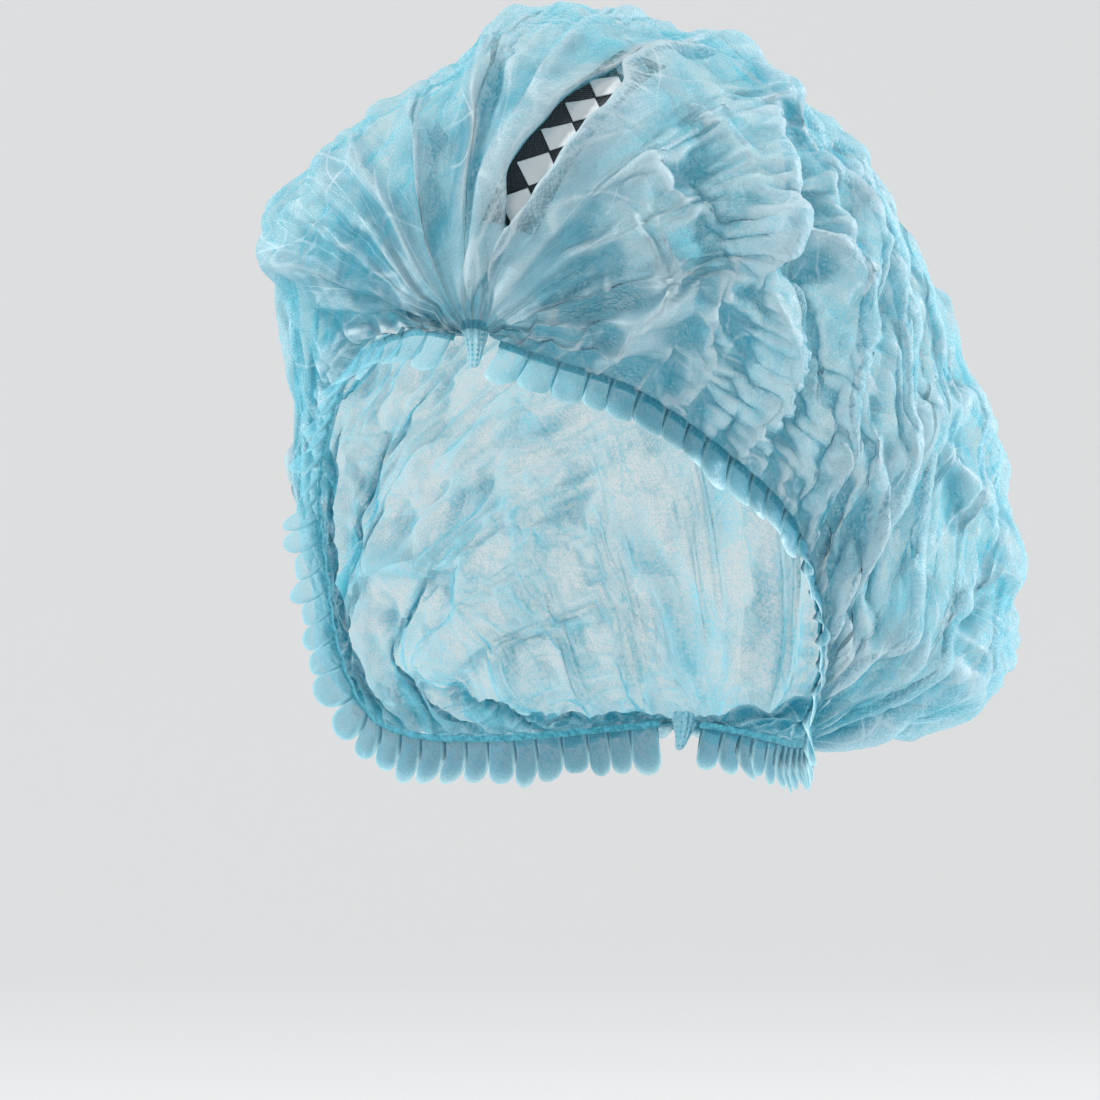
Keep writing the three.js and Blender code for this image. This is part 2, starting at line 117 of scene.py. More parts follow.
def rim_points(along, side):
    """Points of the rim: side is 1 for the wearer's left and -1 for the right."""
    up = read("rim_up", along)
    x = side * head_half_width * read("rim_wide", along)
    y = opening_reach * read("rim_back", along)
    z = np.where(up > 0, opening_rise, nape_drop) * up - side * opening_rise * read("tilt", along)
    return np.stack([x, y, z], axis=-1)


def half_section(along, side, steps=60):
    rim = rim_points(along, side)
    foot = rim * [0, 1, 1]
    top_back, top_up = bag_reach * read("top_back", along), crown_rise * read("top_up", along)
    top = np.stack([0 * along, top_back, top_up], -1)
    widest = np.maximum(crown_half_width * read("wide", along), 1.02 * abs(rim[:, 0]))
    belly = read("wide_at", along)[:, None]
    start = np.arccos(abs(rim[:, 0]) / widest)[:, None]
    turn = -start + (math.pi / 2 + start) * np.linspace(0, 1, steps + 1)
    below = belly * (1 + np.sin(turn) / np.sin(start))
    above = belly + (1 - belly) * np.sin(turn)
    share = np.where(turn < 0, below, above)
    points = foot[:, None] + (top - foot)[:, None] * share[..., None]
    lean = (bag_lean * read("lean", along))[:, None]
    points[..., 0] = side * widest[:, None] * np.cos(turn) + lean * share**2 * (3 - 2 * share)
    return points


def reaches(line):
    """Distances along a line of points."""
    return np.concatenate([[0], np.cumsum(np.linalg.norm(np.diff(line, axis=0), axis=1))])


def smooth_grid(rows, cols):
    """The smooth crown as a grid of points, a row for each section from weld to weld."""
    along = np.linspace(0, 1, rows + 1)
    right, left = half_section(along, -1), half_section(along, 1)[:, ::-1]
    sections = np.concatenate([right, left[:, 1:]], axis=1)
    grid = np.empty((rows + 1, cols + 1, 3))
    lengths = np.empty(rows + 1)
    for i, section in enumerate(sections):
        reach = reaches(section)
        lengths[i] = reach[-1]
        for k in range(3):
            grid[i, :, k] = np.interp(np.linspace(0, reach[-1], cols + 1), reach, section[:, k])
    return grid, lengths


def unit(vectors):
    """The same directions, one long."""
    return vectors / np.maximum(np.linalg.norm(vectors, axis=-1, keepdims=True), 1e-9)


def grid_normals(grid):
    return unit(np.cross(np.gradient(grid, axis=1), np.gradient(grid, axis=0)))


base, base_lengths = smooth_grid(96, 112)
shortest, longest = round(base_lengths.min()), round(base_lengths.max())
print("smooth crown: sections from", shortest, "to", longest, "mm")

# %% [markdown]
# ## The main folds
# Cloth that is held at its edges hangs in folds that keep their places. On this cap a fan of
# pleats opens above the front weld, a zigzag of crumples runs round the left temple, and long
# folds fall from the top. Each one is a line drawn on the smooth form from one place to another,
# given as shares across and along the cloth, with a height and a width in millimetres. A lean
# pushes the crest sideways, so that the fold lies over its neighbour as a double layer, which is
# what makes the bands of deeper blue. The measured folds are on the wearer's left; the right
# side and the back get folds of the same kind.

# %% Folds
folds = np.array([
    # from across, from along, to across, to along, height, width, lean
    [0.30, 0.02, 0.29, 0.16, 5.0, 5.0, -2.0],
    [0.345, 0.02, 0.335, 0.14, 4.0, 4.0, -2.0],
    [0.39, 0.02, 0.40, 0.18, 6.0, 5.0, -2.5],
    [0.44, 0.02, 0.43, 0.13, 4.0, 4.0, 2.0],
    [0.50, 0.02, 0.475, 0.20, 8.0, 4.5, -4.5],
    [0.54, 0.02, 0.525, 0.18, 5.0, 4.0, 2.5],
    [0.572, 0.02, 0.568, 0.235, 9.0, 4.5, 3.5],
    [0.655, 0.02, 0.652, 0.215, 9.5, 5.5, -3.5],
    [0.68, 0.03, 0.72, 0.12, 5.0, 4.0, 2.5],
    [0.67, 0.02, 0.79, 0.086, 6.0, 4.5, 2.5],
    [0.71, 0.01, 0.94, 0.05, 5.0, 4.5, 2.0],
    [0.885, 0.065, 0.84, 0.167, 8.0, 6.0, 4.0],
    [0.84, 0.167, 0.79, 0.195, 6.0, 5.0, 3.0],
    [0.79, 0.195, 0.835, 0.29, 7.0, 5.5, 3.5],
    [0.835, 0.29, 0.785, 0.39, 7.0, 5.5, 3.5],
    [0.93, 0.094, 0.855, 0.16, 7.0, 5.5, 3.5],
    [0.89, 0.14, 0.82, 0.20, -7.0, 9.0, 0.0],
    [0.73, 0.14, 0.77, 0.14, -5.0, 14.0, 0.0],
    [0.66, 0.286, 0.84, 0.169, 8.0, 5.0, 4.0],
    [0.675, 0.297, 0.806, 0.266, 7.0, 5.0, 3.5],
    [0.62, 0.33, 0.70, 0.27, 5.0, 5.0, 3.0],
    [0.74, 0.284, 0.80, 0.34, 5.5, 5.0, 3.0],
    [0.69, 0.39, 0.80, 0.34, 7.0, 6.0, 3.0],
    [0.667, 0.19, 0.743, 0.19, 4.5, 4.5, 2.0],
    [0.69, 0.122, 0.785, 0.13, 5.0, 4.5, 2.5],
    [0.71, 0.27, 0.80, 0.22, -5.0, 8.0, 0.0],
    [0.94, 0.383, 0.86, 0.47, 8.0, 6.0, 4.0],
    [0.86, 0.47, 0.764, 0.61, 7.0, 6.0, 3.0],
    [0.96, 0.30, 0.90, 0.40, 5.0, 5.0, 2.5],
    [0.77, 0.79, 0.965, 0.55, 7.0, 6.0, 4.0],
    [0.965, 0.617, 0.84, 0.88, 11.0, 22.0, 0.0],
    [0.93, 0.66, 0.87, 0.84, 5.0, 5.0, 4.0],
    [0.82, 0.55, 0.80, 0.76, 5.0, 6.0, 3.0],
    [0.43, 0.13, 0.40, 0.34, -6.5, 16.0, 0.0],
    [0.33, 0.14, 0.30, 0.36, -10.0, 38.0, 0.0],
    [0.10, 0.14, 0.12, 0.38, -6.5, 36.0, 0.0],
    [0.10, 0.07, 0.18, 0.17, 7.0, 6.0, -3.0],
    [0.18, 0.17, 0.22, 0.28, 6.0, 6.0, -3.0],
    [0.33, 0.30, 0.20, 0.20, 7.0, 6.0, -3.5],
    [0.31, 0.42, 0.20, 0.37, 6.0, 6.0, -3.0],
    [0.07, 0.42, 0.22, 0.57, 8.0, 6.0, -3.5],
    [0.23, 0.78, 0.05, 0.58, 8.0, 6.5, -3.5],
    [0.05, 0.64, 0.18, 0.87, 7.0, 18.0, 0.0],
    [0.42, 0.42, 0.36, 0.70, 7.0, 7.0, 3.0],
    [0.55, 0.42, 0.58, 0.70, 7.0, 7.0, -3.0],
    [0.48, 0.34, 0.50, 0.58, 5.0, 6.0, 3.0],
    [0.47, 0.62, 0.44, 0.85, 7.0, 7.0, 3.0],
    [0.62, 0.78, 0.56, 0.93, 6.0, 6.0, -3.0],
    [0.36, 0.80, 0.42, 0.94, 6.0, 6.0, 3.0],
])
print("main folds and dents:", len(folds))

# %% [markdown]
# ## Pleats and gathers
# Two regular patterns lie over the main folds. Accordion pleats run away from each weld and
# open out as the cloth widens. Gathers stand square to each elastic: the same length of cloth is
# pulled into little more than half, so it ripples once for every scallop of the frill, and the
# small ripples join into wider and wider ones as they leave the elastic. A wave with a steepened
# crest, and a phase that wanders a little, looks gathered by hand rather than machined.

# %% Patterns over the smooth form
rng = np.random.default_rng(7)
lattice = rng.normal(size=(32, 32, 32))


def noise(points, size, seed=0):
    """Smooth random numbers of about -1 to 1, changing over the given size."""
    p = points / size + seed * 17.31
    cell = np.floor(p).astype(int)
    f = p - cell
    f = f * f * (3 - 2 * f)
    total = 0
    for corner in range(8):
        o = np.array([corner >> 2 & 1, corner >> 1 & 1, corner & 1])
        index = (cell + o) % 32
        weight = np.prod(np.where(o, f, 1 - f), axis=-1)
        total = total + weight * lattice[index[..., 0], index[..., 1], index[..., 2]]
    return total * 0.8


def grid_at(grid, across, along):
    """Points of a grid at shares across and along."""
    r = np.clip(np.asarray(along) * (grid.shape[0] - 1), 0, grid.shape[0] - 1.001)
    c = np.clip(np.asarray(across) * (grid.shape[1] - 1), 0, grid.shape[1] - 1.001)
    i, j = r.astype(int), c.astype(int)
    s, t = (r - i)[..., None], (c - j)[..., None]
    if grid.ndim == 2:
        s, t = s[..., 0], t[..., 0]
    near = grid[i, j] * (1 - t) + grid[i, j + 1] * t
    far = grid[i + 1, j] * (1 - t) + grid[i + 1, j + 1] * t
    return near * (1 - s) + far * s


fold_steps = 8
broad_fold = 9  # mm; a wider fold, or a dent, has a round crest and doubles no cloth


def along_fold(points, fold):
    """For each straight step of a fold: its run, and each point's distance and share along."""
    across_from, along_from, across_to, along_to = fold[:4]
    t = np.linspace(0, 1, fold_steps + 1)
    line = grid_at(base, across_from + (across_to - across_from) * t,
                   along_from + (along_to - along_from) * t)
    for k in range(fold_steps):
        run = line[k + 1] - line[k]
        u = np.clip(((points - line[k]) @ run) / (run @ run), 0, 1)
        away = np.linalg.norm(points - line[k] - u[:, None] * run, axis=1)
        yield run, away, (k + u) / fold_steps


def fold_relief(grid, normal):
    """How the folds move each point of a grid."""
    points, n = grid.reshape(-1, 3), normal.reshape(-1, 3)
    move = np.zeros_like(points)
    for fold in folds:
        height, width, lean = fold[4:]
        near = np.full(len(points), 1e9)
        side = np.zeros_like(points)
        ends = np.zeros(len(points))
        for run, away, share in along_fold(points, fold):
            closer = away < near
            near = np.where(closer, away, near)
            side[closer] = run / np.linalg.norm(run)
            ends = np.where(closer, share, ends)
        taper = np.minimum(1, 6 * np.minimum(ends, 1 - ends) + 0.35)
        roundness = 2 if height < 0 or width > broad_fold else 1.35
        crest = np.exp(-(near / width) ** roundness)
        sideways = np.cross(n, side)
        over, aside = height * crest * taper, lean * crest**1.5 * taper
        move += over[:, None] * n + aside[:, None] * sideways
    return move.reshape(grid.shape)


def ripple(phase, sharp=1.3):
    """A wave from -1 to 1 with steepened flanks."""
    return np.tanh(sharp * np.sin(phase)) / np.tanh(sharp)


def shares(grid):
    """Each point's share along and across its grid."""
    along, across = np.linspace(0, 1, grid.shape[0]), np.linspace(0, 1, grid.shape[1])
    return np.meshgrid(along, across, indexing="ij")


pleats = 15
gathers = ((34, 7, 1.8), (17, 20, 2.7), (9, 42, 3.6))  # number, reach and height in mm


def pattern_relief(grid, lengths, normal):
    """How pleats and gathers move each point of a grid."""
    along, across = shares(grid)
    wander = noise(grid, 30, 1)
    sideways = unit(np.gradient(grid, axis=1))
    onward = np.cross(normal, sideways)
    # pleats: their depth follows the room between neighbours
    room = lengths[:, None] / pleats
    reach = 0.09 + 0.07 * np.exp(-(((across - 0.5) / 0.2) ** 2))
    fade = np.exp(-((np.minimum(along, 1 - along) / reach) ** 1.3))
    phase = 2 * math.pi * pleats * across + 1.3 * wander
    depth = np.minimum(0.36 * room, 5.4) * fade
    move = (depth * ripple(phase))[..., None] * normal
    move += (0.45 * depth * np.cos(phase))[..., None] * sideways
    # gathers: one ripple for each scallop at the elastic, joining into wider ones; they are
    # weaker on the wearer's right front, where the cloth puffs out
    edge = np.minimum(across, 1 - across) * lengths[:, None]
    clear = np.clip(np.minimum(along, 1 - along) * 18, 0, 1)
    firm = 1 - 0.6 * np.clip((0.5 - across) / 0.06, 0, 1) * np.clip((0.46 - along) / 0.08, 0, 1)
    for count, reach, height in gathers:
        part = edge / reach
        envelope = part * np.exp(1 - part)
        if count == gathers[0][0]:
            envelope = np.exp(-((part - 0.8) ** 2)) * np.clip(part * 2, 0.35, 1)
        phase = 2 * math.pi * count * along + (1.1 + 0.02 * reach) * wander + count * (across > 0.5)
        swing = height * envelope * clear * firm
        move += (swing * ripple(phase, 1.6))[..., None] * normal
        move += (0.5 * swing * np.sin(2 * phase))[..., None] * onward
    return move


base_normals = grid_normals(base)
moved_by = fold_relief(base, base_normals) + pattern_relief(base, base_lengths, base_normals)
moved_most = np.linalg.norm(moved_by, axis=-1).max()
print("folds and gathers move the cloth by up to", round(moved_most, 1), "mm")

# %% [markdown]
# ## Crumpling the sheet
# The flat sheet is larger than the smooth form, and thin non-woven cloth can't shrink, so the
# spare length has to stand up in facets and creases. The same thing is done here in numbers. The
# cloth is a net of points, each tied to its neighbours by a length taken from the flat sheet, and
# a few hundred rounds of pushing the points to their lengths make the net buckle. Starting with
# a coarse net gives the large facets; the net is then halved three times, and each finer net
# adds smaller creases to the ones it inherits. A weak pull toward the formed shape stands for
# the head and hair inside, which keep the cap from falling in.

# %% A net that keeps its lengths
flat_width, flat_length = 480, 530


def net_lengths(smooth, excess_limit):
    """Lengths between neighbours in the flat sheet, across, along and on the two diagonals."""
    across = np.linalg.norm(np.diff(smooth, axis=1), axis=-1)
    along = np.linalg.norm(np.diff(smooth, axis=0), axis=-1)
    across *= np.clip(flat_width / across.sum(axis=1, keepdims=True), 1.03, excess_limit)
    along *= np.clip(flat_length / along.sum(axis=0, keepdims=True), 1.03, excess_limit)
    slant = np.sqrt(((across[:-1] + across[1:]) / 2) ** 2
                    + ((along[:, :-1] + along[:, 1:]) / 2) ** 2)
    return across, along, slant


def middle_of(net):
    """The mean of each inner point's four neighbours."""
    return (net[1:-1, :-2] + net[1:-1, 2:] + net[:-2, 1:-1] + net[2:, 1:-1]) / 4


def push(net, first, second, length, stiffness):
    """Moves two slices of the net apart or together until they are the given length apart."""
    a, b = net[first], net[second]
    run = b - a
    distance = np.sqrt(np.einsum("...k,...k", run, run)) + 1e-9
    move = run * (stiffness * 0.5 * (1 - length / distance))[..., None]
    net[first] = a + move
    net[second] = b - move


def settle(net, anchor, smooth, rounds, excess, hold, stiffness=0.9, bend=0.06):
    """Rounds of pushing the net to its lengths, easing its bends and holding it to its anchor."""
    across, along, slant = net_lengths(smooth, excess)
    fixed = (net[:, 0].copy(), net[:, -1].copy(), net[0].copy(), net[-1].copy())
    for _ in range(rounds):
        for o in (0, 1):
            push(net, np.s_[:, o:-1:2], np.s_[:, o + 1::2], across[:, o::2], stiffness)
            push(net, np.s_[o:-1:2], np.s_[o + 1::2], along[o::2], stiffness)
            push(net, np.s_[o:-1:2, :-1], np.s_[o + 1::2, 1:], slant[o::2], 0.5 * stiffness)
            push(net, np.s_[o:-1:2, 1:], np.s_[o + 1::2, :-1], slant[o::2], 0.5 * stiffness)
        net[1:-1, 1:-1] += bend * (middle_of(net) - net[1:-1, 1:-1])
        net += hold * (anchor - net)
        net[:, 0], net[:, -1], net[0], net[-1] = fixed
    return net


def refine(net):
    """The same net with twice as many cells each way."""
    fine = np.empty((2 * net.shape[0] - 1, 2 * net.shape[1] - 1, 3))
    fine[::2, ::2] = net
    fine[1::2, ::2] = (net[:-1] + net[1:]) / 2
    fine[:, 1::2] = (fine[:, :-2:2] + fine[:, 2::2]) / 2
    return fine


def loosen(grid, size, height, seed):
    """Uneven bumps that give the net something to buckle from, none at the edges."""
    rows, cols = grid.shape[:2]
    edge = np.minimum(np.arange(cols), np.arange(cols)[::-1]) / cols * 12
    end = np.minimum(np.arange(rows), np.arange(rows)[::-1]) / rows * 9
    mask = np.clip(np.minimum(edge[None], 1) * np.minimum(end[:, None], 1), 0, 1)
    return (height * mask * noise(grid, size, seed))[..., None] * grid_normals(grid)


levels = [
    # rows, cols, rounds, most excess length, hold, size and height of the loosening bumps
    (36, 42, 220, 1.12, 0.03, 16, 4.0),
    (72, 84, 120, 1.16, 0.03, 9, 1.4),
    (144, 168, 60, 1.20, 0.05, 6, 0.7),
    (288, 336, 10, 1.24, 0.05, 4, 0.3),
]
for number, (rows, cols, rounds, excess, hold, bump_size, bump_height) in enumerate(levels):
    smooth, lengths = smooth_grid(rows, cols)
    normal = grid_normals(smooth)
    shaped = smooth + fold_relief(smooth, normal)
    if number == 0:
        net = shaped + loosen(smooth, bump_size, bump_height, 3)
    else:
        net = refine(net) + loosen(smooth, bump_size, bump_height, 4 + number)
    anchor = shaped
    if number >= 2:
        pattern = pattern_relief(smooth, lengths, normal)
        anchor = shaped + pattern
        if number == 2:
            net = net + pattern
        net[:, 0], net[:, -1] = anchor[:, 0], anchor[:, -1]
    net[0], net[-1] = smooth[0], smooth[-1]
    net = settle(net, anchor, smooth, rounds, excess, hold)
    furthest = float(np.linalg.norm(net - smooth, axis=-1).max())
    print("net of", rows, "by", cols, "cells settled, at most", round(furthest, 1), "mm off smooth")
crown_smooth, crown_lengths = smooth, lengths

# %% [markdown]
# ## Crisp creases
# The net gives the right bulges, but its creases are as soft as its cells are wide. Real
# non-woven cloth keeps a sharp line wherever it was once folded, with flat facets between the
# lines. So several hundred short fold lines are laid over the net. Each one lifts a ridge with
# straight sides, like a tent, that runs out at both ends. Near the elastic the lines stand square
# to the hem, near a weld they point at it, and elsewhere they lie at random. Where points zigzag
# from one cell to the next, which no cloth does, they are averaged.

# %% Fold lines over the net
def averaged(grid, rounds):
    for _ in range(rounds):
        middle = middle_of(grid)
        grid = grid.copy()
        grid[1:-1, 1:-1] = middle
    return grid


def sharpen(net, amount, rounds, most):
    """Steepens what a few rounds of averaging would take away, up to a largest height."""
    soft = averaged(net, rounds)
    detail = net - soft
    tall = np.linalg.norm(detail, axis=-1, keepdims=True)
    return soft + detail * (1 + amount) * most / np.sqrt(most**2 + tall**2)


def fold_lines(net, count, seed):
    """The net with short straight folds laid over it."""
    chance = np.random.default_rng(seed)
    rows, cols = net.shape[0] - 1, net.shape[1] - 1
    normal = grid_normals(net)
    points, n = net.reshape(-1, 3), normal.reshape(-1, 3)
    lift = np.zeros(len(points))
    made = 0
    while made < count:
        along, across = chance.uniform(0.03, 0.97), chance.uniform(0.02, 0.98)
        i, j = int(along * rows), int(across * cols)
        if chance.uniform() > crown_lengths[i] / crown_lengths.max():
            continue
        made += 1
        centre, up = net[i, j], normal[i, j]
        sideways = crown_smooth[i, min(j + 3, cols)] - crown_smooth[i, max(j - 3, 0)]
        sideways /= np.linalg.norm(sideways)
        onward = np.cross(up, sideways)
        edge = min(across, 1 - across) * crown_lengths[i]
        end = min(along, 1 - along) * flat_length
        if edge < 50:
            angle = chance.normal(0.0, 0.30)
        elif end < 110:
            angle = chance.normal(math.pi / 2, 0.25)
        else:
            angle = chance.uniform(0, math.pi)
        run = math.cos(angle) * sideways + math.sin(angle) * onward
        run -= (run @ up) * up
        run /= np.linalg.norm(run)
        side = np.cross(up, run)
        width = chance.uniform(3.0, 10.0)
        length = min(width * chance.uniform(2.5, 6.5), 45)
        height = width * chance.uniform(0.18, 0.42) * (1 if chance.uniform() < 0.66 else -0.7)
        calm = 0.35 if across < 0.46 and along < 0.42 else 1.0  # the puffed right front
        calm *= 0.12 if abs(across - 0.613) < 0.055 and 0.02 < along < 0.27 else 1.0  # the strip
        away = points - centre
        near = np.flatnonzero((np.abs(away) < length).all(1))
        away = away[near]
        skew = chance.uniform(-0.25, 0.25)
        s = away @ side + skew * abs(away @ run)
        t = away @ run / length
        tent = np.clip(1 - abs(s) / width, 0, None) * np.clip(1 - t * t, 0, None) ** 1.5
        tent *= (abs(away @ up) < 14) * np.clip(n[near] @ up, 0, 1)
        lift[near] += height * calm * tent
    lift = lift.reshape(net.shape[:2])
    margin = np.minimum(np.arange(cols + 1), np.arange(cols + 1)[::-1])[None] / 5
    ending = np.minimum(np.arange(rows + 1), np.arange(rows + 1)[::-1])[:, None] / 4
    lift *= np.clip(margin, 0, 1) * np.clip(ending, 0, 1)
    return net + np.clip(lift, -4.5, 5.5)[..., None] * normal


def unkink(net, most, rounds):
    """Averages the points that zigzag from one cell to the next by more than most."""
    for _ in range(rounds):
        middle = middle_of(net)
        kink = np.linalg.norm(net[1:-1, 1:-1] - middle, axis=-1, keepdims=True)
        eased = 0.8 * np.clip((kink - most) / (0.6 * most), 0, 1)
        net = net.copy()
        net[1:-1, 1:-1] += eased * (middle - net[1:-1, 1:-1])
    return net


crown_grid = sharpen(net, 0.55, 6, 4.0)
crown_grid = fold_lines(crown_grid, 820, 11)
crown_grid = unkink(crown_grid, 0.55, 5)

# %% [markdown]
# ## A bed for the strip
# First, the wearer's right front is puffed out by the hair, so its crumples are averaged away.
# The dark strip shows through a long gap between two tall pleats that lean over its edges. The
# net is averaged there to a calm bed, and the two pleats are raised along its sides. They stand
# furthest apart at the middle and nearly meet at both ends, so the strip seems to come out from
# under the cloth instead of lying on it like a label.

# %% The puffed right front
along, across = shares(crown_grid)
puff = np.clip((0.48 - across) / 0.08, 0, 1) * np.clip((0.44 - along) / 0.10, 0, 1)
puff = puff * np.clip((across - 0.01) / 0.05, 0, 1) * np.clip(along / 0.05, 0, 1)
crown_grid = crown_grid + (0.75 * puff)[..., None] * (averaged(crown_grid, 14) - crown_grid)
print("the right front is calmed over", round(100 * float((puff > 0.5).mean())), "% of the cloth")

# %% Bed and flanking pleats
strip_across, strip_along = (0.604, 0.622), (0.056, 0.24)
calm = averaged(crown_grid, 70)
calm_normal = grid_normals(calm)
strip_share = (along - strip_along[0]) / (strip_along[1] - strip_along[0])
strip_line = strip_across[0] + (strip_across[1] - strip_across[0]) * strip_share
off = (across - strip_line) * crown_lengths[:, None]
on_left = off > 0
hump = np.sin(math.pi * np.clip(strip_share / 0.68, 0, 1))
gap_half = 2.6 + 4.9 * hump**0.6
gap_half += 0.9 * noise(crown_smooth, 14, 5) + 0.9 * noise(crown_smooth, 6, 9)
over = np.clip((strip_share - 0.60) / 0.07, 0, 1) * np.clip((1.12 - strip_share) / 0.08, 0, 1)
beyond = np.clip(abs(off) - gap_half - 1.5, 0, None)
wall = np.clip((abs(off) - gap_half + 1.5) / 3.0, 0, 1)
wall = wall * wall * (3 - 2 * wall)
fall_off = np.exp(-((beyond / 5.5) ** 1.3))
present = np.clip((strip_share + 0.30) / 0.2, 0, 1) * np.clip((1.45 - strip_share) / 0.3, 0, 1)
tall = np.where(on_left, 8.0, 7.2) * (1 + 0.18 * noise(crown_smooth, 11, 6)) * (0.7 + 0.3 * hump)
flanks = wall * fall_off * present
lift = np.maximum(tall * flanks, 2.6 * over * np.exp(-((off / 9.5) ** 4)))
lean = -np.sign(off) * np.where(on_left, 4.0, 3.4) * flanks * fall_off
sideways = unit(np.gradient(calm, axis=1))
bed = calm + (lift - 0.5)[..., None] * calm_normal + lean[..., None] * sideways
blend = present * np.clip((24 - abs(off)) / 14, 0, 1)
blend = (blend * blend * (3 - 2 * blend))[..., None]
crown_grid = crown_grid * (1 - blend) + bed * blend
lifted = float(np.linalg.norm(crown_grid - net, axis=-1).max())
print("the flanking pleats stand up to", round(float(lift.max()), 1), "mm tall")
print("fold lines and pleats move the net by up to", round(lifted, 1), "mm")

# %% [markdown]
# ## Turning the net into a mesh
# Each point of the net becomes a vertex, so the mesh stays a single layer, as thin cloth should.
# Facts about the cloth are stored with the points because the colour needs them later. Two maps
# give its place in the flat sheet: one, pushed about a little, carries the fibres, and one is
# drawn together near the edges and welds, so that facets there are long and narrow. The other
# facts are how sharply it is creased, how densely it is gathered, how steeply it stands, whether
# it is a ridge or a valley, and two slow random numbers for clouds of fibre and old crease lines.

# %% Meshes from grids
def linked(name, data):
    """An object with the given data, in the scene."""
    made = bpy.data.objects.new(name, data)
    bpy.context.collection.objects.link(made)
    return made


def mesh_object(name, points, faces):
    """A smooth-shaded mesh object from plain lists."""
    mesh = bpy.data.meshes.new(name)
    mesh.from_pydata(points, [], faces)
    mesh.polygons.foreach_set("use_smooth", np.ones(len(mesh.polygons), dtype=bool))
    return linked(name, mesh)


def grid_object(title, grid, flat, places=None, **facts):
    """A mesh object from a grid of points in millimetres."""
    rows, cols = grid.shape[:2]
    index = np.arange(rows * cols).reshape(rows, cols)
    quads = np.stack([index[:-1, :-1], index[:-1, 1:], index[1:, 1:], index[1:, :-1]], -1)
    quads = quads.reshape(-1, 4)
    mesh = bpy.data.meshes.new(title)
    mesh.vertices.add(rows * cols)
    mesh.vertices.foreach_set("co", (grid / 1000).astype(np.float32).ravel())
    mesh.loops.add(quads.size)
    mesh.loops.foreach_set("vertex_index", quads.astype(np.int32).ravel())
    mesh.polygons.add(len(quads))
    mesh.polygons.foreach_set("loop_start", np.arange(0, quads.size, 4, dtype=np.int32))
    mesh.polygons.foreach_set("use_smooth", np.ones(len(quads), dtype=bool))
    mesh.update(calc_edges=True)
    for name, place in {"flat": flat, **(places or {})}.items():
        layer = mesh.uv_layers.new(name=name)
        corners = place.reshape(-1, 2)[quads.ravel()] / 1000
        layer.data.foreach_set("uv", corners.astype(np.float32).ravel())
    for fact, values in facts.items():
        attribute = mesh.attributes.new(fact, "FLOAT", "POINT")
        attribute.data.foreach_set("value", np.asarray(values, np.float32).ravel())
    mesh.validate()
    return linked(title, mesh)


def blur(values, rounds=1):
    for _ in range(rounds):
        padded = np.pad(values, 1, mode="edge")
        values = (4 * middle_of(padded) + 2 * values) / 6
    return values


def crease_of(grid):
    """How sharply each point of a grid is creased, from 0 to 1."""
    bow = 4 * (middle_of(np.pad(grid, ((1, 1), (1, 1), (0, 0)), mode="edge")) - grid)
    bow = (bow * grid_normals(grid)).sum(-1)
    bow[0] = bow[-1] = bow[:, 0] = bow[:, -1] = 0
    return np.clip(abs(bow) / 2.6, 0, 1) ** 1.5


def steepness(grid, smooth):
    """How steeply each point's cloth stands off the smooth form, from 0 to 1."""
    facing = (grid_normals(grid) * grid_normals(smooth)).sum(-1)
    return np.clip(1.3 * (1 - facing) - 0.08, 0, 1)


rows, cols = crown_grid.shape[0] - 1, crown_grid.shape[1] - 1
flat = np.stack([across * flat_width, along * flat_length], -1)
flat_place = np.concatenate([flat, np.zeros((rows + 1, cols + 1, 1))], -1)
for size, amount, seeds in ((16, 1.6, (11, 12)), (34, 3.2, (13, 14))):
    flat = flat + amount * np.stack([noise(flat_place, size, seed) for seed in seeds], -1)


def drawn_in(place, size, share, reach, far_side):
    """Distances from the two borders of the sheet, shortened by a share within the reach."""
    inward = np.minimum(place, size - place)
    inward = inward - share * reach * (1 - np.exp(-inward.clip(0) / reach))
    return np.where(far_side, 2 * size - inward, inward)


facet_place = np.stack([drawn_in(flat[..., 0], flat_width, 0.5, 45, across >= 0.5),
                        drawn_in(flat[..., 1], flat_length, 0.6, 90, along >= 0.5)], -1)
cloud = np.clip(0.5 + 0.35 * noise(flat_place, 8, 15) + 0.2 * noise(flat_place, 4, 16), 0, 1)
kept = np.clip(0.5 + 1.6 * noise(flat_place, 26, 17), 0, 1)
edge = np.minimum(across, 1 - across) * crown_lengths[:, None]
near_weld = np.exp(-np.minimum(along, 1 - along) * crown_lengths[:, None].clip(60) / 16)
cell = np.cross(np.gradient(crown_grid, axis=1), np.gradient(crown_grid, axis=0))
cell = np.maximum(np.linalg.norm(cell, axis=-1), 0.05)
spread = np.clip(flat_width / cols * flat_length / rows / cell, 0, 4)


# %% Layers, ridges and valleys
def doubled(grid):
    """Where a main fold laps over itself, from 0 to 1."""
    points = grid.reshape(-1, 3)
    most = np.zeros(len(points))
    for fold in folds:
        height, width = fold[4:6]
        if height < 0 or width > broad_fold:
            continue
        for _, away, share in along_fold(points, fold):
            taper = np.minimum(1, 5 * np.minimum(share, 1 - share) + 0.2)
            most = np.maximum(most, taper * np.exp(-((away / (0.8 * width)) ** 2)))
    return most.reshape(grid.shape[:2])


def stand_out(grid, rounds, normal_rounds, full):
    """How far the cloth stands over its own average, as a share of the full height."""
    over = ((grid - averaged(grid, rounds)) * grid_normals(averaged(grid, normal_rounds))).sum(-1)
    return np.clip(over / full, -1, 1)


